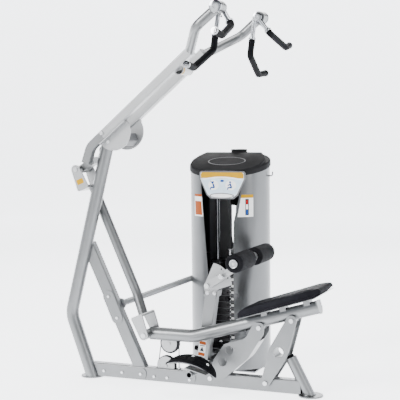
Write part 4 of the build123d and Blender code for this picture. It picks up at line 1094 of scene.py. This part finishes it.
ARM_LOW = (-566, 1460)
ARM_RUN = (558, 468)
CROSS_TUBE_ALONG = 600
CROSS_TUBE_OFFSET = (14, -17)
CROSS_TUBE_R = 30
BAND_Y = (-66, -52)
BAND_LIFT = 0.5


def make_cross_tube_label():
    """A thin printed band round the near end of the arm's cross tube."""
    share = CROSS_TUBE_ALONG / math.hypot(*ARM_RUN)
    x, z = (low + run * share + offset for low, run, offset in zip(ARM_LOW, ARM_RUN, CROSS_TUBE_OFFSET))
    centre = at(x, 0, z)
    bm = bmesh.new()
    steps = 24
    angles = [math.radians(-70 + 170 * k / steps) for k in range(steps + 1)]
    y0, y1 = BAND_Y
    rings = []
    for y, lift in ((y0, 0), (y0, BAND_LIFT), (y1, BAND_LIFT), (y1, 0)):
        radius = CROSS_TUBE_R + lift
        rings.append([bm.verts.new(centre + Vector((radius * math.cos(a), y, radius * math.sin(a))) / 1000)
                      for a in angles])
    for a, b in zip(rings, rings[1:] + rings[:1]):
        for k in range(steps):
            bm.faces.new((a[k], a[k + 1], b[k + 1], b[k]))
    bm.faces.new([row[0] for row in rings])
    bm.faces.new([row[-1] for row in rings])
    piece("cross_tube_label_band", bm, "amber", "arm")


ROD_EAR_TOP = (-762, 1256)
ROD_EAR_WEB = (-716, 1150)
ROD_EAR_FACE = -88


def make_rod_label():
    """A small plain label on the near ear of the push rod's upper fork."""
    lean = Vector((ROD_EAR_WEB[0] - ROD_EAR_TOP[0], ROD_EAR_WEB[1] - ROD_EAR_TOP[1])).normalized()
    middle = Vector(ROD_EAR_TOP).lerp(Vector(ROD_EAR_WEB), 0.66)

    def on_ear(u, v):
        return at(middle.x + u * lean.y + v * lean.x, ROD_EAR_FACE, middle.y - u * lean.x + v * lean.y)

    bm = bmesh.new()
    slab(bm, rounded_box(-22, 22, -15, 15, 2), on_ear, 0.6, FRONT)
    piece("rod_label", bm, "amber", "push_rod")


def weld_loop(bm, points, radius):
    """A rippled weld bead along a closed loop of points in metres."""
    loop = even_loop(points, 0.003)
    count = len(loop)
    sweep(bm, loop, lambda share: radius * (1 + 0.16 * math.sin(share * count * 1.9)), turns=8, closed=True)


def tube_loop(centre, axis, radius, steps=40):
    side, up = frame_along(axis)
    return [centre + (side * math.cos(a) + up * math.sin(a)) * radius / 1000
            for a in (math.tau * k / steps for k in range(steps))]


def flat_loop(centre, direction, radius, height):
    """Where a slanting tube meets a level plane: an ellipse stretched along its lean."""
    lean = direction.normalized()
    stretch = 1 / abs(lean.z)
    flat = Vector((lean.x, lean.y, 0)).normalized() if abs(lean.z) < 0.999 else Vector((1, 0, 0))
    side = Vector((-flat.y, flat.x, 0))
    middle = centre + lean * ((height / 1000 - centre.z) / lean.z)
    return [middle + (flat * math.cos(a) * stretch + side * math.sin(a)) * radius / 1000
            for a in (math.tau * k / 48 for k in range(48))]


UPRIGHT_FOOT = (-694, -28, -20)
UPRIGHT_LEAN = (-145, 0, 401)
LEG_FOOT = (648, 0, 8)
LEG_LEAN = (-106, 0, 201)
FOOT_WELD_Z = 9
POST_FOOT = ((-67, 68), (3, 68), (3, 128), (-67, 128))
POST_WELD_Z = 78
FOOT_BAR_ROOT = (35, 24, 128)


def make_welds():
    """Beads where upright, leg, post and foot bar meet the base, and where the arm's tubes meet the hubs."""
    bm = bmesh.new()
    weld_loop(bm, flat_loop(at(*UPRIGHT_FOOT), Vector(UPRIGHT_LEAN), 38.5, FOOT_WELD_Z), 3)
    weld_loop(bm, flat_loop(at(*LEG_FOOT), Vector(LEG_LEAN), 32.5, FOOT_WELD_Z), 3)
    post = []
    for (x0, y0), (x1, y1) in zip(POST_FOOT, POST_FOOT[1:] + POST_FOOT[:1]):
        post += [at(x0 + (x1 - x0) * t / 12, y0 + (y1 - y0) * t / 12, POST_WELD_Z) for t in range(12)]
    weld_loop(bm, post, 2.6)
    x, y, z = FOOT_BAR_ROOT
    for side in (-1, 1):
        weld_loop(bm, tube_loop(at(x, side * y, z), Vector((0, 1, 0)), 18.6), 2.2)
    piece("base_welds", bm, "frame_paint", "base")
    bm = bmesh.new()
    for side, name in SIDES:
        hub = joint_at("handle_" + name + "_swivel")
        inward = hub - Vector((0, side * 8, 34)) / 1000
        weld_loop(bm, tube_loop(inward, Vector((125, -side * 9, 102)), 27), 2.4)
    piece("arm_welds", bm, "frame_paint", "arm")


# ---- stage ----

FLOOR_RINGS = 40
FLOOR_TURNS = 96
FLOOR_FLAT = 11.0
WALL_CURVE = 6.0
FLAT_SHARE = 0.4
BACK_GLOW = 3.4
FRONT_GLOW = 0.25
GLOW_FADES = (-3.6, -1.0)


def make_floor():
    """A glowing floor that curves up into a wall all the way round, dimmer on the camera's side."""
    bm = bmesh.new()
    centre = bm.verts.new((0, 0, 0))
    rows = []
    for k in range(1, FLOOR_RINGS):
        share = k / (FLOOR_RINGS - 1)
        angle = max(0.0, (share - FLAT_SHARE) / (1 - FLAT_SHARE)) * math.pi / 2
        radius = FLOOR_FLAT * min(1.0, share / FLAT_SHARE) + WALL_CURVE * math.sin(angle)
        height = WALL_CURVE * (1 - math.cos(angle))
        rows.append([bm.verts.new((*around(0, 0, radius, radius, t * math.tau / FLOOR_TURNS), height))
                     for t in range(FLOOR_TURNS)])
    for t in range(FLOOR_TURNS):
        bm.faces.new((centre, rows[0][t], rows[0][(t + 1) % FLOOR_TURNS]))
    for inner, outer in zip(rows, rows[1:]):
        for t in range(FLOOR_TURNS):
            n = (t + 1) % FLOOR_TURNS
            bm.faces.new((inner[t], outer[t], outer[n], inner[n]))
    mesh = bpy.data.meshes.new("floor")
    bm.to_mesh(mesh)
    bm.free()
    mesh.polygons.foreach_set("use_smooth", [True] * len(mesh.polygons))
    p = Paint("floor")
    p.colour(p.between(p.noise(0.8, 3.0), (0.83, 0.84, 0.85), (0.87, 0.88, 0.89)))
    p.roughness(p.rescale(p.noise(3.0, 3.0), 0.55, 0.7))
    split = p.tree.nodes.new("ShaderNodeSeparateXYZ")
    p.link(p.place, split.inputs["Vector"])
    glow = p.rescale(split.outputs["Y"], FRONT_GLOW, BACK_GLOW, *GLOW_FADES)
    p.link(glow, p.shader.inputs["Emission Strength"])
    p.set(Emission_Color=(0.95, 0.97, 1.0, 1))
    mesh.materials.append(p.material)
    floor = bpy.data.objects.new("floor", mesh)
    bpy.context.scene.collection.objects.link(floor)


make_camera()
light_the_studio()
make_floor()
paint_the_frame()
make_seat_pad()
for side, name in SIDES:
    make_roller(side, name)
make_roller_caps()
for side, name in SIDES:
    make_grips(side, name)
    make_hub_caps(side, name)
make_foot_rests()
make_shroud_labels()
make_placard_face()
make_cap_details()
make_plate_labels()
make_post_label()
make_post_top()
make_cross_tube_label()
make_rod_label()
make_welds()
